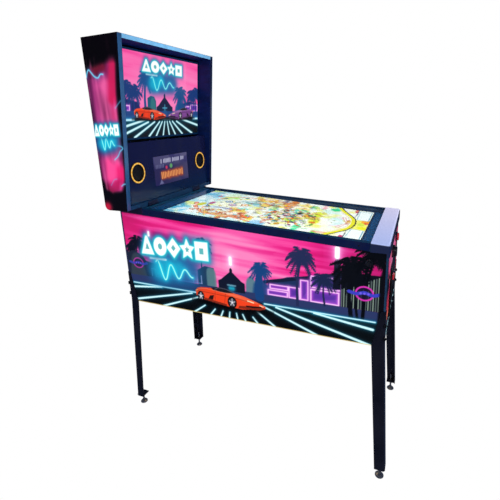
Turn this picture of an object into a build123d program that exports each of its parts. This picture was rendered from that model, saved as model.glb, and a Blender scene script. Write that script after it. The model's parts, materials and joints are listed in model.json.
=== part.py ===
"""Free-standing digital pinball machine.

Frame: millimetres, origin on the floor under the middle of the legs, +X to the player's right,
+Y from the player towards the backbox, +Z up. Every sub-part is written to parts/NODE.step.
"""

import math
import os

from build123d import *

# ---------------------------------------------------------------- driving dimensions (mm)
CABINET_WIDTH = 600.0
CABINET_LENGTH = 1290.0
CABINET_BOTTOM = 652.0
BOARD = 18.0
CORNER_CHAMFER = 5.0

RAIL_FRONT_Z = 1087.0        # top of the side rails at the cabinet's front
RAIL_REAR_Z = 1170.0         # the same line at the cabinet's rear
RAIL_HEIGHT = 33.0
SHEET = 1.5
RAIL_GAP = 0.1               # clearance under the folded rails

BACKBOX_WIDTH = 766.0
BACKBOX_HEIGHT = 757.0
BACKBOX_BOTTOM = 1165.0
BACKBOX_DEPTH_BOTTOM = 130.0
BACKBOX_DEPTH_TOP = 200.0
BACKBOX_SIDE = 25.0
BACKBOX_ROUND = 28.0

PLAYFIELD_SCREEN = (529.4, 941.3)     # 43 inch panel, 16:9, upright
PLAYFIELD_FRONT = (-524.4, 1065.8)    # y, z of the picture's front edge
PLAYFIELD_ANGLE = 4.755
BACKGLASS_SCREEN = (698.0, 393.0)     # 32 inch panel, 16:9
BACKGLASS_RECESS = 83.0
BACKGLASS_BOTTOM = 1493.0

LEG_STEEL = 2.5
LEG_TOP = 813.0
LEG_BOTTOM = 52.0
LEG_WIDTHS = (46.0, 51.0, 20.0)       # each flange at the foot, under the cabinet and at the top
LEG_FOOT_CORNER = (322.0, 681.0)      # outer corner of the angle at its lower end
FOOT_INSET = 24.0                     # from that corner to the leveler's axis, in x and in y
LEG_BOLT_HEIGHTS = (693.0, 751.0)
BOLT_R = 4.75
HOLE_GAP = 0.05                       # radial running clearance of pins in their holes

GLASS = 5.0
GLASS_DROP = 3.3                      # rail top to the glass
CASE_WALL = 2.5                       # walls of the display cases
SHEET_METAL_WALL = 1.5                # walls of the computer case and the power supply

REAR_DOOR = (-309.0, 309.0, 1226.0, 1864.0)
RING_OUTER_R = 50.0
RING_INNER_R = 40.0
HINGE_XS = (-200.0, 200.0)
KNUCKLE_R = 4.0
HINGE_PIN_R = 2.0

# ---------------------------------------------------------------- worked-out values
HALF_W = CABINET_WIDTH / 2
FRONT = -CABINET_LENGTH / 2
REAR = CABINET_LENGTH / 2
INNER_X = HALF_W - BOARD
INNER_Y = REAR - BOARD
RAIL_RISE = (RAIL_REAR_Z - RAIL_FRONT_Z) / CABINET_LENGTH
RAIL_ANGLE = math.degrees(math.atan(RAIL_RISE))
RAIL_FRAME = Location((0, FRONT, RAIL_FRONT_Z), (RAIL_ANGLE, 0, 0))
PLAYFIELD_FRAME = Location((0, *PLAYFIELD_FRONT), (PLAYFIELD_ANGLE, 0, 0))

BACKBOX_TOP = BACKBOX_BOTTOM + BACKBOX_HEIGHT
BACKBOX_FRONT = REAR - BACKBOX_DEPTH_BOTTOM
BACKBOX_LEAN = math.degrees(math.atan((BACKBOX_DEPTH_TOP - BACKBOX_DEPTH_BOTTOM) / BACKBOX_HEIGHT))
BACKBOX_INNER_X = BACKBOX_WIDTH / 2 - BACKBOX_SIDE
PIVOT_Y = BACKBOX_FRONT - 5.0
SPEAKER_PANEL_Y = BACKBOX_FRONT + 9.0
SPEAKER_PANEL_TOP = 1474.0

BAR_FRONT = FRONT - 4.5
BAR_REAR = FRONT + 67.0
RAIL_START_Y = BAR_REAR + 2.0
RAIL_END_Y = 500.0
GLASS_START_Y = BAR_REAR - 20.0
GLASS_END_Y = 496.0

FLIPPER_Y = -575.0
FLIPPER_Z = 1012.0
FRONT_BUTTON_Z = 1000.0
START_X = -105.0
LAUNCH_X = 108.0
FLOOR_TOP = 675.0

DOOR_HALF_W = 137.5
DOOR_LOW = 713.0
DOOR_HIGH = 927.0
DOOR_PIVOT = (-139.5, FRONT - 5.9)
DOOR_LOCK = (118.0, 820.0)
REJECT_CENTRE = (-50.0, 862.0)

FAN_CENTRE = (150.0, 900.0)
INLET_CENTRE = (-200.0, 722.0)
SPEAKER_CENTRES = ((-275.0, 1330.0), (275.0, 1330.0))
SCORE_WINDOW = (-150.0, 150.0, 1242.0, 1391.0)


# ---------------------------------------------------------------- helpers
def box(x0, x1, y0, y1, z0, z1):
    """Box between two corners."""
    return Pos((x0 + x1) / 2, (y0 + y1) / 2, (z0 + z1) / 2) * Box(x1 - x0, y1 - y0, z1 - z0)


def prism_x(points, x0, x1):
    """Outline given as (y, z) points, swept along X."""
    outline = make_face(Polyline(*[(x0, y, z) for y, z in points], close=True))
    return extrude(outline, amount=x1 - x0, dir=(1, 0, 0))


def prism_z(points, z0, z1):
    """Outline given as (x, y) points, swept along Z."""
    outline = make_face(Polyline(*[(x, y, z0) for x, y in points], close=True))
    return extrude(outline, amount=z1 - z0, dir=(0, 0, 1))


def rod(start, direction, radius, length):
    """Cylinder that starts at a point and runs along a direction."""
    place = Plane(origin=start, z_dir=direction)
    return place * Cylinder(radius, length, align=(Align.CENTER, Align.CENTER, Align.MIN))


def tube(start, direction, outer, inner, length):
    """Cylinder with a coaxial bore."""
    return rod(start, direction, outer, length) - rod(start, direction, inner, length)


def hex_bar(start, direction, across_flats, length):
    """Hexagonal bar that starts at a point and runs along a direction."""
    place = Plane(origin=start, z_dir=direction)
    return extrude(place * RegularPolygon(across_flats / math.sqrt(3), 6), amount=length)


def turned(start, direction, profile):
    """Solid of revolution: profile holds (radius, distance along the direction) points."""
    place = Plane(origin=start, z_dir=direction)
    outline = make_face(Polyline(*[(r, 0, d) for r, d in profile], close=True))
    return place * revolve(outline, Axis.Z)


def rail_z(y):
    """Height of the side rails' top at a place along the cabinet."""
    return RAIL_FRONT_Z + (y - FRONT) * RAIL_RISE


def along_rail(y):
    """Distance along the sloping rails from the cabinet's front."""
    return (y - FRONT) / math.cos(math.radians(RAIL_ANGLE))


def rail_box(x0, x1, y0, y1, h0, h1):
    """Box that follows the slope of the rails; h is measured from the rails' top."""
    return RAIL_FRAME * box(x0, x1, along_rail(y0), along_rail(y1), h0, h1)


def mirrored(shape):
    """The same piece for the player's left side."""
    return mirror(shape, about=Plane.YZ)


def save(name, *solids):
    """Write one node; identical or loose pieces of one node stay separate solids."""
    shape = solids[0] if len(solids) == 1 else Compound(children=list(solids))
    export_step(shape, f"parts/{name}.step")


# ---------------------------------------------------------------- cabinet shell
def corner_bolt_axes():
    """Start point and inward direction of each diagonal leg bolt."""
    seat = (CORNER_CHAMFER + (2 - math.sqrt(2)) * LEG_STEEL) / 2
    axes = []
    for sx in (-1, 1):
        for sy in (-1, 1):
            for z in LEG_BOLT_HEIGHTS:
                x = sx * (HALF_W + LEG_STEEL - seat)
                y = sy * (REAR + LEG_STEEL - seat)
                axes.append(((x, y, z), (-sx, -sy, 0)))
    return axes


def drill_leg_bolts(shape):
    """Clearance holes for the leg bolts."""
    for start, direction in corner_bolt_axes():
        shape -= rod(start, direction, BOLT_R + 0.4, 90)
    return shape


def cabinet_side():
    """Right side board: mitred ends, sloping top, seat for the backbox, glass rebate."""
    cut = CORNER_CHAMFER
    drop = SHEET / math.cos(math.radians(RAIL_ANGLE)) + RAIL_GAP
    top_front = rail_z(FRONT) - drop
    top_seat = rail_z(BACKBOX_FRONT) - drop
    side = prism_x(
        [
            (FRONT, CABINET_BOTTOM),
            (REAR, CABINET_BOTTOM),
            (REAR, BACKBOX_BOTTOM),
            (BACKBOX_FRONT, BACKBOX_BOTTOM),
            (BACKBOX_FRONT, top_seat),
            (FRONT, top_front),
        ],
        INNER_X,
        HALF_W,
    )
    plan = prism_z(
        [
            (HALF_W, FRONT + cut),
            (HALF_W, REAR - cut),
            (HALF_W - cut / 2, REAR - cut / 2),
            (INNER_X, INNER_Y),
            (INNER_X, -INNER_Y),
            (HALF_W - cut / 2, FRONT + cut / 2),
        ],
        CABINET_BOTTOM - 1,
        BACKBOX_BOTTOM + 1,
    )
    side = side & plan
    side -= rail_box(INNER_X - 1, INNER_X + 8, FRONT - 5, RAIL_END_Y + 6, -SHEET - 8.6, 5)
    side -= rod((INNER_X - 1, FLIPPER_Y, FLIPPER_Z), (1, 0, 0), 11.2, BOARD + 2)
    return drill_leg_bolts(side)


def end_plan(outer_y, inner_y):
    """Plan outline of a mitred front or rear panel."""
    cut = CORNER_CHAMFER
    step = cut / 2 if outer_y < 0 else -cut / 2
    return [
        (-HALF_W + cut, outer_y),
        (HALF_W - cut, outer_y),
        (HALF_W - cut / 2, outer_y + step),
        (INNER_X, inner_y),
        (-INNER_X, inner_y),
        (-HALF_W + cut / 2, outer_y + step),
    ]


def front_panel():
    """Front panel with the coin door opening and the two button holes."""
    panel = prism_z(end_plan(FRONT, -INNER_Y), CABINET_BOTTOM, 1060)
    panel -= box(-142, 142, FRONT - 1, -INNER_Y + 1, DOOR_LOW - 5, DOOR_HIGH + 5)
    for x in (START_X, LAUNCH_X):
        panel -= rod((x, FRONT - 1, FRONT_BUTTON_Z), (0, 1, 0), 14.2, BOARD + 2)
    return drill_leg_bolts(panel)


def rear_panel():
    """Rear panel with the fan hole, the inlet cut-out and two rows of vent slots."""
    panel = prism_z(end_plan(REAR, INNER_Y), CABINET_BOTTOM, BACKBOX_BOTTOM)
    fan_x, fan_z = FAN_CENTRE
    inlet_x, inlet_z = INLET_CENTRE
    panel -= rod((fan_x, INNER_Y - 1, fan_z), (0, 1, 0), 57, BOARD + 2)
    panel -= box(inlet_x - 26, inlet_x + 26, INNER_Y - 1, REAR + 1, inlet_z - 14, inlet_z + 14)
    for row in range(6):
        z = 840 + 20 * row
        panel -= box(-215, -75, INNER_Y - 1, REAR + 1, z, z + 7)
    return drill_leg_bolts(panel)


def cabinet_floor():
    """Plywood floor with the loudspeaker hole and cooling slots."""
    floor = box(-INNER_X, INNER_X, -INNER_Y, INNER_Y, FLOOR_TOP - 15, FLOOR_TOP)
    floor -= rod((0, -250, FLOOR_TOP - 16), (0, 0, 1), 68, 17)
    for index in range(5):
        y = 120 + 45 * index
        floor -= box(-150, 80, y, y + 12, FLOOR_TOP - 16, FLOOR_TOP + 1)
    return floor


def rear_shelf():
    """Shelf that carries the backbox, with the cable opening."""
    shelf = box(-INNER_X, INNER_X, BACKBOX_FRONT, INNER_Y, BACKBOX_BOTTOM - BOARD, BACKBOX_BOTTOM)
    return shelf - box(-90, 90, 560, 605, BACKBOX_BOTTOM - BOARD - 1, BACKBOX_BOTTOM + 1)


# ---------------------------------------------------------------- rails, glass and lockdown bar
def side_rail():
    """Folded steel rail on the right side board."""
    outer_x = HALF_W + SHEET
    rail = rail_box(HALF_W, outer_x, RAIL_START_Y, RAIL_END_Y, -RAIL_HEIGHT, 0)
    rail += rail_box(276, outer_x, RAIL_START_Y, RAIL_END_Y, -SHEET, 0)
    rail += rail_box(276, 277.5, RAIL_START_Y, RAIL_END_Y, -3.0, 0)
    return rail


def glass_channels():
    """U-shaped plastic channels at both sides and at the rear end of the glass."""
    low = -SHEET - 8.5
    high = -SHEET - RAIL_GAP
    slot_low = -GLASS_DROP - GLASS - 0.2
    slot_high = -GLASS_DROP + 0.2
    side = rail_box(280, 289.9, GLASS_START_Y - 12, RAIL_END_Y, low, high)
    side -= rail_box(279, 288.4, GLASS_START_Y - 13, RAIL_END_Y + 1, slot_low, slot_high)
    rear = rail_box(-275.8, 275.8, GLASS_END_Y - 10, GLASS_END_Y + 6, low, high)
    rear -= rail_box(-281, 281, GLASS_END_Y - 11, GLASS_END_Y + 1, slot_low, slot_high)
    return side, mirrored(side), rear


def playfield_glass():
    """Toughened glass sheet."""
    return rail_box(-288, 288, GLASS_START_Y, GLASS_END_Y, -GLASS_DROP - GLASS, -GLASS_DROP)


def bar_block(end_x, front_y, lift, low_z, radius):
    """Solid block in the shape of the lockdown bar, rounded over its front and ends."""
    block = prism_x(
        [
            (front_y, low_z),
            (BAR_REAR, low_z),
            (BAR_REAR, rail_z(BAR_REAR) + lift),
            (front_y, rail_z(front_y) + lift),
        ],
        -end_x,
        end_x,
    )
    top = block.faces().sort_by(Axis.Z)[-1]
    over = top.edges().sort_by(Axis.Y)[:3]
    upright = [e for e in block.edges().filter_by(Axis.Z) if e.center().Y < front_y + 1]
    return fillet(list(over) + upright, radius)


def lockdown_bar():
    """Folded steel bar that clamps the glass: top, front skirt, end skirts and rear hem."""
    lift = 3.5
    wall = 2.0
    end_x = HALF_W + 4.0
    bar = bar_block(end_x, BAR_FRONT, lift, 1040, 9)
    bar -= bar_block(end_x - wall, BAR_FRONT + wall, lift - wall, 1030, 7)
    bar -= box(-end_x + wall, end_x - wall, BAR_REAR - 1, BAR_REAR + 1, 1030, 1089)
    for sx in (-1, 1):
        x0, x1 = sorted((sx * (end_x - wall - 1), sx * (end_x + 1)))
        bar -= box(x0, x1, BAR_FRONT + 12, BAR_REAR + 1, 1030, 1056)
    hem = rail_box(-274, 274, BAR_REAR - 2, BAR_REAR, -2.6, lift - wall + 0.5)
    return bar + hem


def lockdown_receiver():
    """Steel channel behind the front panel, with the two latch hooks of the bar."""
    y0 = -INNER_Y + 0.5
    channel = box(-268, 268, y0, y0 + 24, 1042, 1068)
    channel -= box(-269, 269, y0 + 2, y0 + 25, 1044, 1066)
    channel = channel & box(-270, 270, y0 - 1, y0 + 30, 1000, 1070)
    hooks = []
    for x in (-180, 180):
        hooks.append(box(x - 12, x + 12, y0 + 4, y0 + 7, 1044, 1064))
    return channel, *hooks


# ---------------------------------------------------------------- playfield display
def display_case():
    """43 inch display case: a thin shell, screen side up, with vent slots underneath."""
    width, length = PLAYFIELD_SCREEN
    case = box(-width / 2 - 9, width / 2 + 9, -9, length + 9, -45, 0)
    case -= box(-width / 2 - 6, width / 2 + 6, -6, length + 6, -45 + CASE_WALL, -2.2 - CASE_WALL)
    case -= box(-width / 2 - 0.1, width / 2 + 0.1, -0.1, length + 0.1, -2.2, 1)
    for row in range(8):
        y = 320 + 30 * row
        case -= box(-180, 180, y, y + 7, -46, -45 + CASE_WALL + 1)
    return PLAYFIELD_FRAME * case


def display_screen():
    """The panel that shows the playfield."""
    width, length = PLAYFIELD_SCREEN
    return PLAYFIELD_FRAME * box(-width / 2, width / 2, 0, length, -2.2, -0.3)


def playfield_bezel():
    """Black surround between the display and the cabinet's inside."""
    width, length = PLAYFIELD_SCREEN
    surround = box(-INNER_X + 2.5, INNER_X - 2.5, -66, 1012, -6, 0)
    opening = box(-width / 2 - 9.5, width / 2 + 9.5, -9.5, length + 9.5, -7, 1)
    return PLAYFIELD_FRAME * (surround - opening)


def display_brackets():
    """Two square tubes under the display, each on two angle brackets."""
    pieces = []
    for s in (180, 720):
        bar = box(-INNER_X + 5, INNER_X - 5, s, s + 25, -71, -46)
        bar -= box(-INNER_X, INNER_X, s + 2, s + 23, -69, -48)
        pieces.append(PLAYFIELD_FRAME * bar)
        for sx in (-1, 1):
            x_wall = sx * (INNER_X - 0.5)
            x_in = sx * (INNER_X - 3.5)
            x_far = sx * (INNER_X - 40)
            lo, hi = sorted((x_wall, x_in))
            angle = box(lo, hi, s - 5, s + 30, -75, -35)
            lo, hi = sorted((x_wall, x_far))
            angle += box(lo, hi, s - 5, s + 30, -75, -72)
            pieces.append(PLAYFIELD_FRAME * angle)
    return pieces


# ---------------------------------------------------------------- legs
def angle_section(corner_x, corner_y, sx, sy, width, z):
    """L-shaped steel section with a small flat on its corner."""
    t = LEG_STEEL
    outer = CORNER_CHAMFER + (2 - math.sqrt(2)) * t
    inner = CORNER_CHAMFER + t
    outline = [
        (0, -width),
        (0, -outer),
        (-outer, 0),
        (-width, 0),
        (-width, -t),
        (-inner, -t),
        (-t, -inner),
        (-t, -width),
    ]
    points = [(corner_x + sx * u, corner_y + sy * v, z) for u, v in outline]
    return make_face(Polyline(*points, close=True))


def foot_axis(sx, sy):
    """Place of a leveler's upright axis on the floor."""
    return sx * (LEG_FOOT_CORNER[0] - FOOT_INSET), sy * (LEG_FOOT_CORNER[1] - FOOT_INSET)


def leg(sx, sy):
    """One leg: upright where it clasps the cabinet, splayed and narrower below."""
    foot_width, middle_width, top_width = LEG_WIDTHS
    top_x = sx * (HALF_W + LEG_STEEL)
    top_y = sy * (REAR + LEG_STEEL)
    foot_x = sx * LEG_FOOT_CORNER[0]
    foot_y = sy * LEG_FOOT_CORNER[1]
    low = angle_section(foot_x, foot_y, sx, sy, foot_width, LEG_BOTTOM)
    middle = angle_section(top_x, top_y, sx, sy, middle_width, CABINET_BOTTOM)
    high = angle_section(top_x, top_y, sx, sy, top_width, LEG_TOP)
    body = loft([low, middle], ruled=True) + loft([middle, high], ruled=True)
    x0, x1 = sorted((foot_x - sx * 1.2, foot_x - sx * foot_width))
    y0, y1 = sorted((foot_y - sy * 1.2, foot_y - sy * foot_width))
    body += box(x0, x1, y0, y1, LEG_BOTTOM + 4, LEG_BOTTOM + 8)
    body -= rod((*foot_axis(sx, sy), 40), (0, 0, 1), BOLT_R + HOLE_GAP, 40)
    return drill_leg_bolts(body)


def leg_corner_plates():
    """Bent steel plates inside the cabinet's corners that take the leg bolts."""
    outline = [(55, 0), (30, 0), (0, 30), (0, 55), (3, 55), (3, 31.24), (31.24, 3), (55, 3)]
    plates = []
    for sx in (-1, 1):
        for sy in (-1, 1):
            points = [(sx * (INNER_X - u), sy * (INNER_Y - v)) for u, v in outline]
            plate = prism_z(points, 678, 772)
            for start, direction in corner_bolt_axes():
                plate -= rod(start, direction, BOLT_R + HOLE_GAP, 90)
            plates.append(plate)
    return plates


def leg_bolts():
    """Eight hexagon-head bolts, two in each corner."""
    bolts = []
    for start, direction in corner_bolt_axes():
        outward = (-direction[0], -direction[1], 0)
        head = hex_bar(start, outward, 14.3, 6.0)
        bolts.append(head + rod(start, direction, BOLT_R, 58))
    return bolts


def leveler(sx, sy):
    """Foot with a domed pad and a threaded stem."""
    profile = [
        (0, 0),
        (17, 0),
        (19, 2),
        (19, 5),
        (16, 9),
        (10, 12.5),
        (7, 14),
        (7, 20),
        (BOLT_R, 20),
        (BOLT_R, 96),
        (0, 96),
    ]
    return turned((*foot_axis(sx, sy), 0), (0, 0, 1), profile)


def leveler_nuts():
    """Jam nuts that lock the levelers under the leg plates."""
    nuts = []
    for sx in (-1, 1):
        for sy in (-1, 1):
            start = (*foot_axis(sx, sy), LEG_BOTTOM - 4)
            nut = hex_bar(start, (0, 0, 1), 15, 8)
            nuts.append(nut - rod(start, (0, 0, 1), BOLT_R + HOLE_GAP, 8))
    return nuts


# ---------------------------------------------------------------- push buttons
def front_button(x, cap_r, cap_height, ring_r, ring_height):
    """Housing, nut and plunger of a round push button in the front panel."""
    face = (x, FRONT, FRONT_BUTTON_Z)
    ring = tube(face, (0, -1, 0), ring_r, cap_r + 0.5, ring_height)
    edges = ring.edges().filter_by(GeomType.CIRCLE).group_by(Axis.Y)[0]
    ring = fillet([e for e in edges if e.radius > cap_r + 1], 2.0)
    back = rod(face, (0, -1, 0), ring_r, 1.5)
    barrel = rod(face, (0, 1, 0), 14, 42)
    bore = rod((x, FRONT - 2, FRONT_BUTTON_Z), (0, 1, 0), 10 + HOLE_GAP, 46)
    housing = ring + back + barrel - bore
    nut = hex_bar((x, -INNER_Y, FRONT_BUTTON_Z), (0, 1, 0), 38, 8)
    nut -= rod((x, -INNER_Y, FRONT_BUTTON_Z), (0, 1, 0), 14 + HOLE_GAP, 8)
    dome = 4.0
    cap = rod((x, FRONT - 6, FRONT_BUTTON_Z), (0, -1, 0), cap_r, cap_height - 6)
    rim = cap.edges().filter_by(GeomType.CIRCLE).group_by(Axis.Y)[0]
    cap = fillet(rim, dome)
    plunger = cap + rod((x, FRONT - 7, FRONT_BUTTON_Z), (0, 1, 0), 10, 53)
    return housing, nut, plunger


def flipper_button():
    """Housing, nut and plunger of the right flipper button."""
    face = (HALF_W, FLIPPER_Y, FLIPPER_Z)
    flange = rod(face, (1, 0, 0), 15, 5)
    rim = flange.edges().filter_by(GeomType.CIRCLE).group_by(Axis.X)[-1]
    flange = fillet(rim, 2.0)
    housing = flange + rod(face, (-1, 0, 0), 11, 34)
    housing -= rod((HALF_W + 6, FLIPPER_Y, FLIPPER_Z), (-1, 0, 0), 8 + HOLE_GAP, 42)
    start = (INNER_X, FLIPPER_Y, FLIPPER_Z)
    nut = hex_bar(start, (-1, 0, 0), 30, 6) - rod(start, (-1, 0, 0), 11 + HOLE_GAP, 6)
    plunger = rod((HALF_W + 11, FLIPPER_Y, FLIPPER_Z), (-1, 0, 0), 8, 47)
    rim = plunger.edges().filter_by(GeomType.CIRCLE).group_by(Axis.X)[-1]
    return housing, nut, fillet(rim, 2.5)


def button_switches():
    """Four small microswitches behind the buttons, each on its own arm."""
    switches = []
    for x in (START_X, LAUNCH_X):
        y0 = FRONT + 51
        body = box(x - 14, x + 14, y0, y0 + 12, FRONT_BUTTON_Z - 8, FRONT_BUTTON_Z + 8)
        arm = box(x - 14, x - 11, -INNER_Y + 9, y0, FRONT_BUTTON_Z - 8, FRONT_BUTTON_Z + 8)
        switches.append(body + arm - rod((x, FRONT, FRONT_BUTTON_Z), (0, 1, 0), 14.5, 49))
    for sx in (-1, 1):
        lo, hi = sorted((sx * (INNER_X - 24), sx * (INNER_X - 36)))
        body = box(lo, hi, FLIPPER_Y - 14, FLIPPER_Y + 14, FLIPPER_Z - 8, FLIPPER_Z + 8)
        lo, hi = sorted((sx * (INNER_X - 7), sx * (INNER_X - 36)))
        arm = box(lo, hi, FLIPPER_Y + 12, FLIPPER_Y + 15, FLIPPER_Z - 8, FLIPPER_Z + 8)
        switches.append(body + arm)
    return switches


# ---------------------------------------------------------------- coin door
def coin_door_frame():
    """Steel frame in the front panel, with the two fixed hinge knuckles and the pin."""
    flange = box(-152, 152, FRONT - 2.5, FRONT, DOOR_LOW - 15, DOOR_HIGH + 15)
    sleeve = box(-141.5, 141.5, FRONT - 2.5, FRONT + 30, DOOR_LOW - 4.5, DOOR_HIGH + 4.5)
    frame = flange + sleeve
    frame -= box(-138.5, 138.5, FRONT - 4, FRONT + 31, DOOR_LOW - 1.5, DOOR_HIGH + 1.5)
    pivot_x, pivot_y = DOOR_PIVOT
    for z in (DOOR_LOW, DOOR_HIGH - 60):
        frame += rod((pivot_x, pivot_y, z), (0, 0, 1), 3.2, 60)
        frame += box(pivot_x - 3, pivot_x, pivot_y, FRONT - 2.5, z, z + 60)
    return frame + rod((pivot_x, pivot_y, DOOR_LOW), (0, 0, 1), 1.5, DOOR_HIGH - DOOR_LOW)


def coin_door():
    """Door plate with a return flange, the middle hinge knuckle and the coin entry."""
    pivot_x, pivot_y = DOOR_PIVOT
    door = box(-137, DOOR_HALF_W, FRONT - 2.5, FRONT, DOOR_LOW, DOOR_HIGH)
    pan = box(-131, 131, FRONT, FRONT + 15, DOOR_LOW + 6, DOOR_HIGH - 6)
    pan -= box(-129, 129, FRONT - 1, FRONT + 16, DOOR_LOW + 8, DOOR_HIGH - 8)
    low = DOOR_LOW + 60.5
    high = DOOR_HIGH - 60.5
    door = door + pan + rod((pivot_x, pivot_y, low), (0, 0, 1), 3.2, high - low)
    door += box(pivot_x, pivot_x + 8, pivot_y - 3.2, pivot_y - 1.6, low, high)
    door += box(pivot_x + 5, pivot_x + 8, pivot_y - 3.2, FRONT - 1, low, high)
    door -= rod((pivot_x, pivot_y, low - 1), (0, 0, 1), 1.5 + HOLE_GAP, high - low + 2)
    entry_x, reject_z = REJECT_CENTRE
    door += box(entry_x - 24, entry_x + 24, FRONT - 5.5, FRONT, reject_z - 50, reject_z + 40)
    door -= box(entry_x - 2, entry_x + 2, FRONT - 7, FRONT + 2, reject_z - 42, reject_z - 16)
    door -= box(entry_x - 12.3, entry_x + 12.3, FRONT - 7, FRONT + 2, reject_z - 12.3, reject_z + 12.3)
    door += box(20, 70, FRONT - 5.5, FRONT, 735, 790)
    door -= box(25, 65, FRONT - 7, FRONT + 2, 740, 785)
    door += box(22, 68, FRONT, FRONT + 12, 737, 788) - box(25, 65, FRONT - 1, FRONT + 10, 740, 785)
    lock_x, lock_z = DOOR_LOCK
    return door - rod((lock_x, FRONT - 4, lock_z), (0, 1, 0), 9.5 + HOLE_GAP, 6)


def coin_reject_button():
    """Square coin-reject button with a retaining flange behind the door plate."""
    x, z = REJECT_CENTRE
    button = box(x - 12, x + 12, FRONT - 11, FRONT + 3, z - 12, z + 12)
    front_edges = button.edges().group_by(Axis.Y)[0]
    button = fillet(front_edges, 1.5)
    return button + box(x - 15, x + 15, FRONT + 2, FRONT + 4, z - 15, z + 15)


def coin_door_lock():
    """Lock cylinder with its cam, shown unlocked with the cam upright."""
    x, z = DOOR_LOCK
    lock = rod((x, FRONT - 6, z), (0, 1, 0), 9.5, 38)
    lock += rod((x, FRONT - 7, z), (0, 1, 0), 11, 4.5)
    lock -= box(x - 1, x + 1, FRONT - 8, FRONT - 1, z - 4.5, z + 4.5)
    return lock + box(x - 7, x + 7, FRONT + 32, FRONT + 35, z - 8, z + 32)


# ---------------------------------------------------------------- electrics in the cabinet
def computer_case():
    """Sheet-steel computer case on the cabinet floor, with vent slots in its lid."""
    wall = SHEET_METAL_WALL
    top = FLOOR_TOP + 100
    case = box(-200, 130, 60, 420, FLOOR_TOP, top)
    case -= box(-200 + wall, 130 - wall, 60 + wall, 420 - wall, FLOOR_TOP + wall, top - wall)
    for index in range(8):
        x = -170 + 22 * index
        case -= box(x, x + 8, 130, 350, top - 3, top + 1)
    for edge_x in (-160, 40):
        case -= box(edge_x, edge_x + 80, 417, 421, FLOOR_TOP + 20, top - 20)
    return case


def power_supply():
    """Switching power supply with a perforated end."""
    wall = SHEET_METAL_WALL
    top = FLOOR_TOP + 70
    supply = box(165, 251, 250, 400, FLOOR_TOP, top)
    supply -= box(165 + wall, 251 - wall, 250 + wall, 400 - wall, FLOOR_TOP + wall, top - wall)
    for row in range(3):
        for column in range(3):
            start = (185 + 23 * column, 249, FLOOR_TOP + 15 + 20 * row)
            supply -= rod(start, (0, 1, 0), 6, 6)
    return supply


def control_board():
    """Input board with its terminal blocks, on four spacers."""
    board = box(110, 220, -390, -300, FLOOR_TOP + 10, FLOOR_TOP + 11.6)
    blocks = [
        box(116, 214, -388, -378, FLOOR_TOP + 11.6, FLOOR_TOP + 23),
        box(116, 214, -312, -302, FLOOR_TOP + 11.6, FLOOR_TOP + 23),
        box(150, 175, -360, -335, FLOOR_TOP + 11.6, FLOOR_TOP + 15),
    ]
    for block in blocks:
        board += block
    for x in (115, 215):
        for y in (-374, -316):
            board += rod((x, y, FLOOR_TOP), (0, 0, 1), 3, 10.5)
    return board


def driver_profile(flange_r, cone_r, depth, magnet_r):
    """Half outline of a loudspeaker: flange at distance 0, magnet at the far end."""
    return [
        (0, depth * 0.28),
        (cone_r * 0.32, depth * 0.36),
        (cone_r, 1.0),
        (cone_r, 0),
        (flange_r, 0),
        (flange_r, 3),
        (cone_r, 3.5),
        (magnet_r * 0.9, depth * 0.62),
        (magnet_r, depth * 0.62),
        (magnet_r, depth),
        (0, depth),
    ]


def cabinet_speaker():
    """Loudspeaker that faces down through the cabinet floor."""
    return turned((0, -250, FLOOR_TOP), (0, 0, 1), driver_profile(82, 66, 76, 45))


def fan_frame():
    """Square fan frame with its motor mount, three arms and axle."""
    x, z = FAN_CENTRE
    frame = box(x - 60, x + 60, INNER_Y - 25, INNER_Y, z - 60, z + 60)
    frame -= rod((x, INNER_Y - 26, z), (0, 1, 0), 57, 27)
    frame += rod((x, INNER_Y - 3.5, z), (0, 1, 0), 20, 3.5)
    for angle in (30, 150, 270):
        arm = Pos(x, INNER_Y - 1.75, z) * Rot(0, angle, 0) * Pos(38, 0, 0) * Box(42, 3.5, 5)
        frame += arm
    for sx in (-1, 1):
        for sz in (-1, 1):
            frame -= rod((x + sx * 52.5, INNER_Y - 26, z + sz * 52.5), (0, 1, 0), 2.2, 27)
    return frame + rod((x, INNER_Y - 20, z), (0, 1, 0), 3, 18)


def fan_rotor():
    """Hub with seven twisted blades."""
    x, z = FAN_CENTRE
    y_mid = INNER_Y - 14
    rotor = rod((x, y_mid - 8, z), (0, 1, 0), 20, 16)
    for index in range(7):
        spin = Rot(0, index * 360 / 7, 0)
        blade = Pos(36, 0, 0) * Rot(38, 0, 0) * Box(36, 2, 20)
        rotor += Pos(x, y_mid, z) * spin * blade
    return rotor - rod((x, y_mid - 7, z), (0, 1, 0), 3 + HOLE_GAP, 20)


def power_inlet():
    """Mains inlet module with its socket and the recess of the rocker switch."""
    x, z = INLET_CENTRE
    module = box(x - 25.5, x + 25.5, INNER_Y - 12, REAR, z - 13.5, z + 13.5)
    module += box(x - 32, x + 32, REAR, REAR + 2.5, z - 17, z + 17)
    module -= box(x - 21, x + 4, REAR - 16, REAR + 3, z - 8, z + 8)
    for offset in (-14.5, -8.5, -2.5):
        module += box(x + offset - 1, x + offset + 1, REAR - 17, REAR - 3, z - 3, z + 3)
    return module - box(x + 9, x + 23, REAR - 12, REAR + 3, z - 8.6, z + 8.6)


def power_rocker():
    """Rocker of the mains switch, tipped to its off position."""
    x, z = INLET_CENTRE
    rocker = rod((x + 9.4, 0, 0), (1, 0, 0), 8, 13.2)
    for tip in (12, -12):
        rocker -= Rot(tip, 0, 0) * Pos(x + 16, 10.5, 0) * Box(20, 10, 40)
    return Pos(0, REAR - 2, z) * Rot(-12, 0, 0) * rocker


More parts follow.
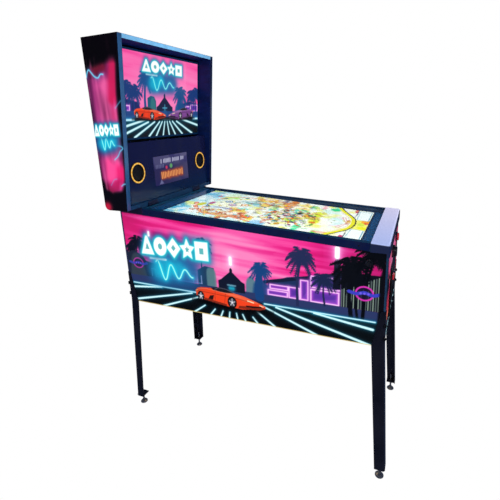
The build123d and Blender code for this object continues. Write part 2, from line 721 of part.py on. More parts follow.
# ---------------------------------------------------------------- backbox
def backbox_envelope(x0, x1):
    """Side outline of the backbox, with its rounded lower rear corner, swept along X."""
    outline = prism_x(
        [
            (BACKBOX_FRONT, BACKBOX_BOTTOM),
            (REAR, BACKBOX_BOTTOM),
            (REAR, BACKBOX_TOP),
            (REAR - BACKBOX_DEPTH_TOP, BACKBOX_TOP),
        ],
        x0,
        x1,
    )
    corner = [
        e
        for e in outline.edges().filter_by(Axis.X)
        if e.center().Y > REAR - 1 and e.center().Z < BACKBOX_BOTTOM + 1
    ]
    return fillet(corner, BACKBOX_ROUND)


def backbox_side():
    """Right side board of the backbox."""
    return backbox_envelope(BACKBOX_INNER_X, BACKBOX_WIDTH / 2)


def backbox_board(y0, y1, z0, z1):
    """Board between the backbox sides, trimmed to their outline."""
    x = BACKBOX_INNER_X
    return backbox_envelope(-x, x) & box(-x, x, y0, y1, z0, z1)


def backbox_floor():
    """Floor board of the backbox, with the cable opening."""
    board = backbox_board(400, REAR, BACKBOX_BOTTOM, BACKBOX_BOTTOM + BOARD)
    return board - box(-90, 90, 560, 605, BACKBOX_BOTTOM - 1, BACKBOX_BOTTOM + BOARD + 1)


def backbox_back_frame():
    """Rear frame of the backbox around the service door, with two pivot holes."""
    x0, x1, z0, z1 = REAR_DOOR
    frame = backbox_board(INNER_Y, REAR, BACKBOX_BOTTOM + BOARD, BACKBOX_TOP - BOARD)
    frame -= box(x0 - 1, x1 + 1, INNER_Y - 1, REAR + 1, z0 - 1, z1 + 1)
    frame -= rod((x0 + 9, INNER_Y + 9, z0 - 11), (0, 0, 1), 3 + HOLE_GAP, z1 - z0 + 22)
    return frame


def backbox_rear_door():
    """Service door with vent slots, a finger hole and its two pivot pins."""
    x0, x1, z0, z1 = REAR_DOOR
    pivot = (x0 + 9, INNER_Y + 9)
    door = box(x0 + 9, x1, INNER_Y, REAR, z0, z1)
    door += rod((*pivot, z0), (0, 0, 1), 9, z1 - z0)
    for row in range(7):
        z = 1640 + 20 * row
        door -= box(-150, 150, INNER_Y - 1, REAR + 1, z, z + 7)
    door -= rod((x1 - 40, INNER_Y - 1, (z0 + z1) / 2), (0, 1, 0), 13, BOARD + 2)
    for z in (z0 - 10, z1 - 20):
        door -= rod((*pivot, z), (0, 0, 1), 3, 30)
    pins = [rod((*pivot, z), (0, 0, 1), 3, 30) for z in (z0 - 10, z1 - 20)]
    return door, *pins


def backglass_frame():
    """Frame of reference on the backbox screen: z runs up the leaning screen."""
    lean = math.radians(BACKBOX_LEAN)
    slope = math.tan(lean)
    front_y = BACKBOX_FRONT - (BACKGLASS_BOTTOM - BACKBOX_BOTTOM) * slope
    return Location((0, front_y + BACKGLASS_RECESS / math.cos(lean), BACKGLASS_BOTTOM), (BACKBOX_LEAN, 0, 0))


def backbox_display_case():
    """32 inch display case: a thin shell with a shallow pocket and rear vent slots."""
    width, height = BACKGLASS_SCREEN
    case = box(-356, 356, -1, 42, -9, height + 9)
    case -= box(-353, 353, 1.2 + CASE_WALL, 42 - CASE_WALL, -6, height + 6)
    for row in range(7):
        z = 220 + 18 * row
        case -= box(-200, 200, 41 - CASE_WALL, 43, z, z + 6)
    case -= box(-width / 2 - 0.1, width / 2 + 0.1, -2, 1.2, -0.1, height + 0.1)
    return backglass_frame() * case


def backbox_display_screen():
    """The panel that shows the backglass picture."""
    width, height = BACKGLASS_SCREEN
    return backglass_frame() * box(-width / 2, width / 2, -0.7, 1.2, 0, height)


def speaker_panel():
    """Lower panel with a ledge on top, two round openings and the score window."""
    x = BACKBOX_INNER_X - 0.3
    y = SPEAKER_PANEL_Y
    top = SPEAKER_PANEL_TOP
    panel = box(-x, x, y, y + 12, BACKBOX_BOTTOM + BOARD, top)
    panel += box(-x, x, y, y + 70, top - 12, top)
    for centre_x, centre_z in SPEAKER_CENTRES:
        panel -= rod((centre_x, y - 1, centre_z), (0, 1, 0), 43, 14)
    x0, x1, z0, z1 = SCORE_WINDOW
    return panel - box(x0 - 0.3, x1 + 0.3, y - 1, y + 13, z0 - 0.3, z1 + 0.3)


def speakers():
    """Two loudspeakers behind the lower panel."""
    start_y = SPEAKER_PANEL_Y + 12
    profile = driver_profile(52, 41, 50, 34)
    return [turned((x, start_y, z), (0, 1, 0), profile) for x, z in SPEAKER_CENTRES]


def speaker_rings():
    """Translucent light rings around the speaker openings."""
    rings = []
    for x, z in SPEAKER_CENTRES:
        ring = tube((x, SPEAKER_PANEL_Y, z), (0, -1, 0), RING_OUTER_R, RING_INNER_R, 6)
        edges = ring.edges().filter_by(GeomType.CIRCLE).group_by(Axis.Y)[0]
        rings.append(fillet(edges, 2.5))
    return rings


def score_display():
    """Score display: its case behind the panel and its screen in the window."""
    x0, x1, z0, z1 = SCORE_WINDOW
    y = SPEAKER_PANEL_Y
    case = box(x0 - 18, x1 + 18, y + 12, y + 34, z0 - 18, z1 + 18)
    return case, box(x0, x1, y + 1.5, y + 12, z0, z1)


def hinge_leaves_lower():
    """Fixed leaves of the two folding hinges, with their pins."""
    leaves = []
    for x in HINGE_XS:
        leaf = box(x - 36, x + 36, BACKBOX_FRONT - 2.5, BACKBOX_FRONT, 1122, BACKBOX_BOTTOM - 1.5)
        for x0 in (x - 36, x + 12.5):
            leaf += rod((x0, PIVOT_Y, BACKBOX_BOTTOM), (1, 0, 0), KNUCKLE_R, 23.5)
        leaf -= box(x - 12, x + 12, BACKBOX_FRONT - 6, BACKBOX_FRONT + 1, 1159, BACKBOX_BOTTOM)
        leaf += rod((x - 36, PIVOT_Y, BACKBOX_BOTTOM), (1, 0, 0), HINGE_PIN_R, 72)
        leaves.append(leaf)
    return leaves


def hinge_leaves_upper():
    """Moving leaves of the two folding hinges, on the front edge of the backbox floor."""
    leaves = []
    envelope = backbox_envelope(-BACKBOX_INNER_X, BACKBOX_INNER_X)
    for x in HINGE_XS:
        leaf = box(x - 36, x + 36, PIVOT_Y + 0.8, BACKBOX_FRONT, BACKBOX_BOTTOM + 5, BACKBOX_BOTTOM + 17)
        leaf += rod((x - 11.5, PIVOT_Y, BACKBOX_BOTTOM), (1, 0, 0), KNUCKLE_R, 23)
        leaf += box(x - 11.5, x + 11.5, PIVOT_Y, PIVOT_Y + 3.5, BACKBOX_BOTTOM, BACKBOX_BOTTOM + 6)
        leaf -= rod((x - 12, PIVOT_Y, BACKBOX_BOTTOM), (1, 0, 0), HINGE_PIN_R + HOLE_GAP, 24)
        leaves.append(leaf - envelope)
    return leaves


# ---------------------------------------------------------------- write every node
def write_cabinet():
    side = cabinet_side()
    rail = side_rail()
    save("cabinet_side_right", side)
    save("cabinet_side_left", mirrored(side))
    save("cabinet_front_panel", front_panel())
    save("cabinet_rear_panel", rear_panel())
    save("cabinet_floor", cabinet_floor())
    save("cabinet_rear_shelf", rear_shelf())
    save("side_rail_right", rail)
    save("side_rail_left", mirrored(rail))
    save("glass_channels", *glass_channels())
    save("playfield_glass", playfield_glass())
    save("lockdown_bar", lockdown_bar())
    save("lockdown_receiver", *lockdown_receiver())
    save("playfield_display_case", display_case())
    save("playfield_display_screen", display_screen())
    save("playfield_bezel", playfield_bezel())
    save("display_brackets", *display_brackets())


def write_legs():
    for side_name, sx in (("left", -1), ("right", 1)):
        for end_name, sy in (("front", -1), ("rear", 1)):
            save(f"leg_{end_name}_{side_name}", leg(sx, sy))
            save(f"leveler_{end_name}_{side_name}", leveler(sx, sy))
    save("leg_corner_plates", *leg_corner_plates())
    save("leg_bolts", *leg_bolts())
    save("leveler_nuts", *leveler_nuts())


def write_controls():
    start_housing, start_nut, start_plunger = front_button(START_X, 22, 20, 28, 9)
    launch_housing, launch_nut, launch_plunger = front_button(LAUNCH_X, 18.5, 15, 24, 8)
    housing, nut, plunger = flipper_button()
    save("start_button", start_plunger)
    save("launch_button", launch_plunger)
    save("front_button_housings", start_housing, start_nut, launch_housing, launch_nut)
    save("flipper_button_right", plunger)
    save("flipper_button_left", mirrored(plunger))
    save("flipper_button_housings", housing, nut, mirrored(housing), mirrored(nut))
    save("button_switches", *button_switches())
    save("coin_door_frame", coin_door_frame())
    save("coin_door", coin_door())
    save("coin_reject_button", coin_reject_button())
    save("coin_door_lock", coin_door_lock())


def write_electrics():
    save("computer_case", computer_case())
    save("power_supply", power_supply())
    save("control_board", control_board())
    save("cabinet_speaker", cabinet_speaker())
    save("exhaust_fan_frame", fan_frame())
    save("exhaust_fan_rotor", fan_rotor())
    save("power_inlet", power_inlet())
    save("power_rocker", power_rocker())


def write_backbox():
    side = backbox_side()
    save("backbox_side_right", side)
    save("backbox_side_left", mirrored(side))
    save("backbox_top", backbox_board(400, REAR, BACKBOX_TOP - BOARD, BACKBOX_TOP))
    save("backbox_floor", backbox_floor())
    save("backbox_back_frame", backbox_back_frame())
    save("backbox_rear_door", *backbox_rear_door())
    save("backbox_display_case", backbox_display_case())
    save("backbox_display_screen", backbox_display_screen())
    save("speaker_panel", speaker_panel())
    save("speakers", *speakers())
    save("speaker_rings", *speaker_rings())
    save("score_display", *score_display())
    save("hinge_leaves_lower", *hinge_leaves_lower())
    save("hinge_leaves_upper", *hinge_leaves_upper())


os.makedirs("parts", exist_ok=True)
write_cabinet()
write_legs()
write_controls()
write_electrics()
write_backbox()
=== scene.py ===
"""Looks of a free-standing digital pinball machine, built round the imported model.

Metres in the model's own frame: +X to the player's right, +Y towards the backbox, +Z up.
The printed art and the lit pictures are painted as colours on fine grids, in millimetres.
"""

import json
import math

import bpy
import numpy as np
from mathutils import Matrix, Vector

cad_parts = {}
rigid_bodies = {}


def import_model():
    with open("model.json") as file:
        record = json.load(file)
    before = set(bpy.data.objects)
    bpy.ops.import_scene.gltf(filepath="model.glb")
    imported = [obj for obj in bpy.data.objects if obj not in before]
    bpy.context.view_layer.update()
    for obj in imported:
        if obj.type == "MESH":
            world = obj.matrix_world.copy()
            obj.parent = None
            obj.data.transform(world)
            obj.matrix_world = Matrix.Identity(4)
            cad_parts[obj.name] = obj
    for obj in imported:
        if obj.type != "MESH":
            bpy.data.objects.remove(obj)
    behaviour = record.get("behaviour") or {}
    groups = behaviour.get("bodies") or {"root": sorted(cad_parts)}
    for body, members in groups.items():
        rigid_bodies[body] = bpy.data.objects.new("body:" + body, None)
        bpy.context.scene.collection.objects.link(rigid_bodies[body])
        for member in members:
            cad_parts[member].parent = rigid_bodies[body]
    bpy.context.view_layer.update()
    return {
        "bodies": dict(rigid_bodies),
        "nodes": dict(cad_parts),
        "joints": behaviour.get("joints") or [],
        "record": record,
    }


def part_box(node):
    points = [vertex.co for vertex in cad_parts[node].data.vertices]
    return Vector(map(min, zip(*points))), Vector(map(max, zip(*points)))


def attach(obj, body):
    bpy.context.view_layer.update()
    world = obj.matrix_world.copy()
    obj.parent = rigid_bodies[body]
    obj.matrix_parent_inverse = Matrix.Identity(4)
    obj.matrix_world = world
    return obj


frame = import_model()

MM = 0.001
SKIN = 0.25                     # thickness of a printed skin
SIDE_GRID, FINE_GRID = 2.75, 2.6
RAIL_DEPTH = 33.3               # rail top to the lower edge of its outer flange
BACKBOX_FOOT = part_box("backbox_side_right")[0].z / MM


# ---------------------------------------------------------------- painting
def mist(u, v, width, height, seed):
    """Smooth noise from 0 to 1 whose spots measure width by height millimetres."""
    lattice = np.random.default_rng(seed).random((64, 64))
    x, y = u / width + 0.4 * v / height + 900, v / height - 0.4 * u / width + 900
    i, j = np.floor(x).astype(int), np.floor(y).astype(int)
    s, t = x - i, y - j
    s, t = s * s * (3 - 2 * s), t * t * (3 - 2 * t)
    i0, j0, i1, j1 = i % 64, j % 64, (i + 1) % 64, (j + 1) % 64
    low = lattice[i0, j0] * (1 - s) + lattice[i1, j0] * s
    high = lattice[i0, j1] * (1 - s) + lattice[i1, j1] * s
    return low * (1 - t) + high * t


def to_line(u, v, points, widths):
    """Distance to the edge of an open line whose width changes from point to point."""
    nearest = np.full(u.shape, 1e9)
    for a, b, wide_a, wide_b in zip(points[:-1], points[1:], widths[:-1], widths[1:]):
        run = b - a
        along = ((u - a[0]) * run[0] + (v - a[1]) * run[1]) / max(run @ run, 1e-9)
        along = np.clip(along, 0, 1)
        gap = np.hypot(u - a[0] - along * run[0], v - a[1] - along * run[1])
        nearest = np.minimum(nearest, gap - (wide_a + (wide_b - wide_a) * along) / 2)
    return nearest


def to_shape(u, v, points):
    """Signed distance to a closed outline, negative inside."""
    closed = np.vstack([points, points[:1]])
    inside = np.zeros(u.shape, bool)
    for a, b in zip(closed[:-1], closed[1:]):
        crosses = (a[1] > v) != (b[1] > v)
        inside ^= crosses & (u < a[0] + (v - a[1]) * (b[0] - a[0]) / ((b[1] - a[1]) or 1e-9))
    gap = to_line(u, v, closed, np.zeros(len(closed)))
    return np.where(inside, -gap, gap)


def arc(centre, radius, start, end, steps=16):
    """Points on a circle or, with two radii, on an ellipse. Angles are in degrees."""
    angles = np.radians(np.linspace(start, end, steps))
    return np.array(centre) + np.array(radius) * np.stack([np.cos(angles), np.sin(angles)], 1)


def smooth(points, steps=8):
    """A rounded line through a few points."""
    points = np.array(points, float)
    ends = np.vstack([2 * points[0] - points[1], points, 2 * points[-1] - points[-2]])
    t = np.linspace(0, 1, steps, endpoint=False)[:, None]
    runs = []
    for a, b, c, d in zip(ends[:-3], ends[1:-2], ends[2:-1], ends[3:]):
        run = t * (c - a) / 2 + t**2 * (a - 2.5 * b + 2 * c - d / 2)
        runs.append(b + run + t**3 * (1.5 * (b - c) + (d - a) / 2))
    return np.vstack(runs + [points[-1:]])


class Picture:
    """Paint on a grid of points. Places are in millimetres and colours are display values up to 255."""

    def __init__(self, u, v, ground):
        self.u, self.v = u.ravel(), v.ravel()
        self.rgb = np.tile(np.array(ground, float), (u.size, 1))
        self.soft = abs(v[0, 1] - v[0, 0])

    def near(self, points, margin):
        low, high = points.min(0) - margin, points.max(0) + margin
        inside = (self.u > low[0]) & (self.u < high[0]) & (self.v > low[1]) & (self.v < high[1])
        return np.flatnonzero(inside)

    def lay(self, at, cover, colour):
        """Cover points with a colour; cover runs from 0 to 1."""
        self.rgb[at] += np.asarray(cover)[..., None] * (np.array(colour, float) - self.rgb[at])

    def shine(self, at, strength, colour):
        """Add light of a colour without passing white."""
        light = np.clip(np.asarray(strength), 0, 1)[..., None] * np.array(colour, float) / 255
        self.rgb[at] = 255 - (255 - self.rgb[at]) * (1 - light)

    def shape(self, points, colour, cover=1.0, soft=None):
        points = np.array(points, float)
        soft = soft or self.soft
        at = self.near(points, soft)
        gap = to_shape(self.u[at], self.v[at], points)
        self.lay(at, cover * np.clip(0.5 - gap / soft, 0, 1), colour)

    def line(self, points, width, colour, cover=1.0, soft=None):
        points = np.array(points, float)
        widths = np.linspace(*width, len(points)) if np.ndim(width) else np.full(len(points), width)
        soft = soft or self.soft
        at = self.near(points, widths.max() / 2 + soft)
        gap = to_line(self.u[at], self.v[at], points, widths)
        self.lay(at, cover * np.clip(0.5 - gap / soft, 0, 1), colour)

    def oval(self, centre, radii, colour, cover=1.0, soft=None):
        soft = soft or self.soft
        centre, radii = np.array(centre, float), np.array(radii, float)
        at = self.near(np.array([centre - radii, centre + radii]), soft)
        far = np.hypot((self.u[at] - centre[0]) / radii[0], (self.v[at] - centre[1]) / radii[1])
        self.lay(at, cover * np.clip(0.5 - (far - 1) * radii.min() / soft, 0, 1), colour)

    def glow(self, points, width, reach, colour, strength=1.0):
        """Light that spreads from a line and fades over the reach."""
        points = np.array(points, float)
        at = self.near(points, width / 2 + 3 * reach)
        gap = to_line(self.u[at], self.v[at], points, np.full(len(points), width))
        self.shine(at, strength * np.exp(-np.maximum(gap, 0) / reach), colour)

    def halo(self, points, width, reach, colour, strength=1.0):
        """Opaque colour that spreads from a line and fades over the reach."""
        points = np.array(points, float)
        at = self.near(points, width / 2 + 3 * reach)
        gap = to_line(self.u[at], self.v[at], points, np.full(len(points), width))
        self.lay(at, strength * np.exp(-((np.maximum(gap, 0) / reach) ** 2)), colour)

    def neon(self, points, width, tube, halo, reach):
        """A lit tube: a pale core with its coloured halo."""
        self.glow(points, width, reach, halo, 0.8)
        self.line(points, width, tube)


# ---------------------------------------------------------------- motifs of the printed art
SKY_DEEP, SKY_PINK, SKY_PALE = (206, 2, 106), (240, 32, 138), (246, 138, 192)
NIGHT, DUSK, SLATE = (9, 16, 38), (16, 40, 84), (44, 58, 106)
CYAN, ICE, WHITE = (0, 200, 235), (190, 250, 255), (255, 255, 255)
ORANGE, VIOLET, ROAD = (238, 60, 14), (122, 66, 140), (3, 7, 12)


def sky(picture, centre, spread, low):
    """Pink evening sky, palest round its centre, with broad slanting bands of cloud."""
    above = np.flatnonzero(picture.v > low)
    u, v = picture.u[above], picture.v[above]
    bend = v + 0.07 * u + 0.1 * spread[1] * mist(u, v, spread[0] * 0.5, spread[1], 3)
    streak = 0.62 * mist(u, bend, spread[0] * 0.9, spread[1] * 0.17, 1)
    streak += 0.28 * mist(u, bend, spread[0] * 0.5, spread[1] * 0.08, 2)
    streak += 0.1 * mist(u, bend, spread[0] * 0.2, spread[1] * 0.03, 4)
    streak = 0.5 * streak + 0.5 * np.round(11 * streak) / 11
    far = ((u - centre[0]) / spread[0]) ** 2 + ((v - centre[1]) / spread[1]) ** 2
    picture.lay(above, np.clip(0.5 * far - 0.5 + 2.6 * (0.5 - streak), 0, 1) * 0.9, SKY_DEEP)
    picture.lay(above, np.clip(1.25 * np.exp(-far) + 1.6 * (streak - 0.6), 0, 1) * 0.9, SKY_PALE)


def palm(picture, crown, size, foot, colour, seed, fronds=15, trunk=0.10):
    """Palm tree: a leaning trunk, and feathery fronds that fan out and sag towards their tips."""
    draw = np.random.default_rng(seed)
    crown, foot = np.array(crown, float), np.array(foot, float)
    middle = (crown + foot) / 2 + (0.04 * (foot[1] - crown[1]), 0)
    picture.line(smooth([crown, middle, foot]), (size * trunk, size * trunk * 1.6), colour)
    for angle in np.linspace(-60, 240, fronds) + draw.uniform(-9, 9, fronds):
        reach = size * draw.uniform(0.75, 1.05)
        out = np.array([math.cos(math.radians(angle)), math.sin(math.radians(angle))])
        tip = crown + reach * out - (0, size * 0.34)
        knee = crown + 0.55 * reach * out
        spine = smooth([crown, knee, tip], 5)
        picture.line(spine, (size * 0.13, size * 0.04), colour)
        across = np.array([-out[1], out[0]])
        for place, share in zip(spine[1:], np.linspace(0.9, 0.3, len(spine) - 1)):
            for side in (-1, 1):
                length = size * share * draw.uniform(0.2, 0.32)
                leaf = place + length * (side * across + 0.6 * out) - (0, 0.45 * length)
                picture.line([place, leaf], (size * 0.08, size * 0.02), colour)


def beam(picture, centre, size):
    """Short upright beam of white light."""
    half_w, half_h = size[0] / 2, size[1] / 2
    line = [(centre[0], centre[1] - half_h + half_w), (centre[0], centre[1] + half_h - half_w)]
    picture.glow(line, size[0], size[0] * 0.8, (255, 190, 240), 0.8)
    picture.line(line, size[0], WHITE)


def chapel(picture, apex, base_v, scale, colour):
    """Gabled hall with a small turret and a lit cross window."""
    x, top = apex
    roof = [(-68, -50), (-52, -42), (-30, -22), (-7, -2), (-7, 12), (0, 20), (7, 12), (7, -2)]
    roof += [(30, -22), (52, -42), (68, -50)]
    outline = [(x + scale * a, top + scale * b) for a, b in roof]
    outline += [(outline[-1][0], base_v), (outline[0][0], base_v)]
    picture.shape(outline, colour)
    lamp_v = top - 82 * scale
    for reach_u, reach_v in ((9, 1.5), (2, 12)):
        half = (reach_u * scale, reach_v * scale)
        picture.glow([(x - half[0], lamp_v), (x + half[0], lamp_v)], 2 * half[1], 5 * scale, CYAN, 0.45)


def car(picture, place, length, paint, facing=1):
    """Low open sports car, turned a little so that its nose shows. Its outline is in hundredths."""
    k = length / 100

    def at(*points):
        return [(place[0] + facing * k * a, place[1] + k * b) for a, b in points]

    dark = tuple(0.55 * c for c in paint)
    light = tuple(c + 0.3 * (255 - c) for c in paint)
    black = (10, 8, 14)
    picture.oval(at((52, 1.5))[0], (56 * k, 4.2 * k), (2, 3, 6), 0.95, 3 * k)
    picture.shape(at((4, 6), (8, 3), (46, -1), (66, -2), (90, 3), (90, 9), (5, 10)), (16, 6, 8))
    body = at((1, 10), (0.5, 15), (3, 19.5), (9, 21.5), (24, 22.5), (36, 20.5), (56, 20), (70, 18))
    body += at((84, 14), (95, 10.5), (100, 8), (99.5, 5), (92, 2.5), (80, 1.5), (68, -0.5), (50, 0))
    picture.shape(body + at((32, 2), (14, 4.5), (4, 6.5)), paint)
    picture.shape(at((36, 20.5), (56, 20), (70, 18), (84, 14), (95, 10.5), (74, 10.5), (58, 13.5)), light, 0.55)
    picture.shape(at((14, 4.5), (32, 2), (46, 0.2), (46, 3), (30, 5), (13, 7.5)), dark)
    picture.shape(at((62, 0), (80, 1.5), (92, 2.5), (99.5, 5), (98, 6.5), (82, 5.5), (64, 4)), dark)
    picture.shape(at((74, 3.8), (84, 4.2), (95, 6), (94, 7.6), (82, 6.4), (73, 6)), black, 0.9)
    picture.shape(at((24, 22.5), (34, 25), (44, 24.5), (58, 20), (44, 18.6), (28, 19.6)), (26, 24, 34))
    picture.line(at((29, 21), (35, 24.4), (45, 24), (59, 19.8)), 0.9 * k, (84, 84, 100))
    picture.line(smooth(at((3, 15.5), (20, 15.2), (40, 14.4), (60, 13.4), (80, 11))), 0.7 * k, dark)
    picture.line(smooth(at((5, 19), (18, 20.4), (30, 19.4), (46, 18), (66, 16.4))), 0.8 * k, light)
    picture.shape(at((19, 6.5), (26, 6), (28, 13), (22, 11.5)), black, 0.85)
    picture.line(at((45, 17.5), (43, 4)), 0.5 * k, dark)
    picture.line(at((30, 18.6), (29, 6)), 0.5 * k, dark)
    picture.line(at((76, 12.6), (84, 11.2)), 1.3 * k, (255, 232, 190))
    picture.line(at((92, 8.8), (97, 7.8)), 1.1 * k, (255, 232, 190))
    picture.line(at((1.2, 16), (3.5, 17)), 1.4 * k, (255, 150, 70))
    for centre, radii in ((at((8, 8.6))[0], (5.2 * k, 7.0 * k)), (at((54, 6.8))[0], (6.6 * k, 8.2 * k))):
        picture.oval(centre, radii, black)
        picture.oval(centre, (radii[0] * 0.68, radii[1] * 0.68), (62, 62, 72))
        for spoke in range(5):
            end = arc(centre, (radii[0] * 0.62, radii[1] * 0.62), 90 + 72 * spoke, 0, 1)[0]
            picture.line([centre, end], 1.2 * k, (196, 196, 204))
        picture.oval(centre, (1.2 * k, 1.4 * k), (230, 230, 235))


def window(picture, u0, u1, v0, v1, frame=4.0):
    """Lit purple shop window with a pale neon outline."""
    outline = np.array([(u0, v0), (u1, v0), (u1, v1), (u0, v1), (u0, v0)], float)
    picture.shape(outline[:-1], (84, 40, 156))
    picture.shape([(u0, v0), (u1, v0), (u1, (v0 + v1) / 2)], (112, 58, 178), 0.6)
    picture.neon(outline, frame, (250, 200, 246), (220, 70, 210), frame * 1.2)


def emblem(picture, u0, u1, v0, v1):
    """Row of five tall block shapes with teal counters: triangle, oval, diamond, star and square."""
    tall, mid = (v1 - v0) / 2, (v0 + v1) / 2
    wide = (u1 - u0) / 10.6
    tips = [arc((0, 0), 1.12 if i % 2 == 0 else 0.56, 90 + 36 * i, 0, 1)[0] for i in range(10)]
    units = [
        np.array([(-1, -1), (1, -1), (0.12, 1), (-0.12, 1)]),
        arc((0, 0), 1.0, 0, 345, 24),
        arc((0, 0), 1.06, 0, 270, 4),
        np.array(tips),
        np.array([(-0.92, -0.96), (0.92, -0.96), (0.92, 0.96), (-0.92, 0.96)]),
    ]
    centres = np.linspace(u0 + wide, u1 - wide, len(units))
    outlines = [unit * (wide, tall) + (u, mid) for unit, u in zip(units, centres)]
    loops = [np.vstack([outline, outline[:1]]) for outline in outlines]
    for loop in loops:
        picture.halo(loop, tall * 0.4, tall * 0.5, (16, 92, 150), 0.5)
    for loop in loops:
        picture.halo(loop, tall * 0.2, tall * 0.24, (20, 184, 200), 0.85)
    for loop, outline, u in zip(loops, outlines, centres):
        picture.line(loop, tall * 0.16, (150, 246, 246), 0.9)
        picture.shape(outline, WHITE)
        lift = -0.12 * tall if outline is outlines[0] else 0
        counter = (outline - (u, mid)) * 0.34 + (u, mid + lift)
        picture.shape(counter, (64, 168, 172), 0.85)


def wave(picture, u0, u1, v0, v1):
    """Thin hand-drawn neon wave over a patch of cyan light."""
    u = np.linspace(u0, u1, 42)
    share = (u - u0) / (u1 - u0)
    swing = (1 - 0.75 * share) * np.sin(2 * math.pi * (0.15 + 2.6 * share))
    line = np.stack([u, (v0 + v1) / 2 + (v1 - v0) / 2 * swing], 1)
    size = v1 - v0
    middle = [(u0 + size * 0.2, (v0 + v1) / 2), (u1 - size * 0.3, (v0 + v1) / 2 + size * 0.1)]
    picture.halo(middle, size * 0.7, size * 0.42, (0, 92, 150), 0.85)
    picture.halo(middle[:1] + [(u0 + size, v1 - size * 0.2)], size * 0.3, size * 0.36, (0, 170, 205), 0.85)
    picture.glow(line, size * 0.05, size * 0.08, CYAN, 0.7)
    picture.line(line, size * 0.05, (170, 255, 240))


def neon_ring(picture, centre, radius, cover=1.0):
    """Round neon sign with a bar of light drawn across it."""
    picture.oval(centre, (radius, radius * 0.86), (26, 16, 60), cover * 0.7)
    ring = arc(centre, (radius, radius * 0.86), 0, 360, 30)
    picture.line(ring, radius * 0.2, (214, 44, 176), cover)
    bar = smooth([(-1.8, 0.05), (-0.9, -0.12), (0, 0.12), (0.9, -0.12), (1.8, 0.1)]) * radius + centre
    picture.line(bar, radius * 0.42, (52, 58, 190), cover)
    for offset in (-0.45, 0, 0.45):
        picture.oval((centre[0] + offset * radius, centre[1]), (radius * 0.14,) * 2, (110, 90, 235), cover)


def road(picture, horizon, vanish, ends, width, low):
    """Black road with glowing lane lines that fan out from the vanishing point."""
    below = np.flatnonzero(picture.v < horizon)
    picture.lay(below, np.ones(below.size), ROAD)
    depth = np.clip((picture.v[below] - low) / (horizon - low), 0, 1)
    side = np.clip(np.abs(picture.u[below] - vanish[0]) / 500, 0, 1)
    picture.lay(below, 0.3 * depth * (0.3 + 0.7 * side), (0, 60, 84))
    vanish = np.array(vanish, float)
    for end, start_share in ends:
        end = np.array(end, float)
        start = end + (vanish - end) * start_share
        wide = width * (1.0 + 0.5 * np.hypot(*(end - vanish)) / 500)
        picture.glow([start, end], wide * 0.6, wide * 0.55, (0, 150, 190), 0.7)
        picture.line([start, end], (wide * 0.7, wide), (208, 250, 255))


# ---------------------------------------------------------------- the printed pictures
def side_buildings(p):
    """Left block, shop with lit windows, fence and pavement behind the road."""
    p.shape([(10, 760), (10, 925), (60, 940), (110, 915), (128, 890), (180, 880), (200, 760)], (26, 36, 60))
    p.shape(smooth([(20, 800), (40, 905), (75, 925), (105, 880), (125, 800)]), (58, 70, 82), 0.7, 12)
    p.shape([(430, 760), (430, 880), (470, 905), (520, 900), (520, 760)], (24, 54, 86))
    p.shape(smooth([(478, 800), (480, 885), (505, 900), (526, 880), (530, 800)]), (86, 124, 132), 0.9, 8)
    p.shape(smooth([(680, 795), (686, 862), (712, 884), (735, 850), (760, 795)]), (70, 124, 134), 0.9, 8)
    p.shape([(790, 800), (790, 868), (880, 905), (1112, 948), (1112, 800)], (22, 46, 92))
    p.line([(775, 868), (1112, 948)], 16, (12, 26, 58))
    p.shape([(712, 790), (722, 850), (757, 884), (800, 846), (826, 790)], (8, 60, 120), 0.9, 14)
    for box in ((800, 883, 842, 860), (790, 880, 811, 833), (888, 934, 811, 860), (940, 972, 811, 900)):
        window(p, *box)
    window(p, 985, 1104, 875, 925)
    window(p, 985, 1102, 809, 864, 5)
    p.shape([(1110, 806), (1110, 958), (1272, 962), (1272, 806)], (10, 14, 30))
    for index in range(17):
        x = 1114 + 9.6 * index
        p.line([(x, 808), (x, 884 + 72 * index / 16)], 2.6, (164, 190, 170), 0.9)
    p.shape([(12, 758), (12, 806), (1275, 806), (1275, 758)], (38, 52, 100))
    p.shape([(12, 758), (12, 774), (1275, 774), (1275, 758)], (22, 32, 72), 0.8, 10)


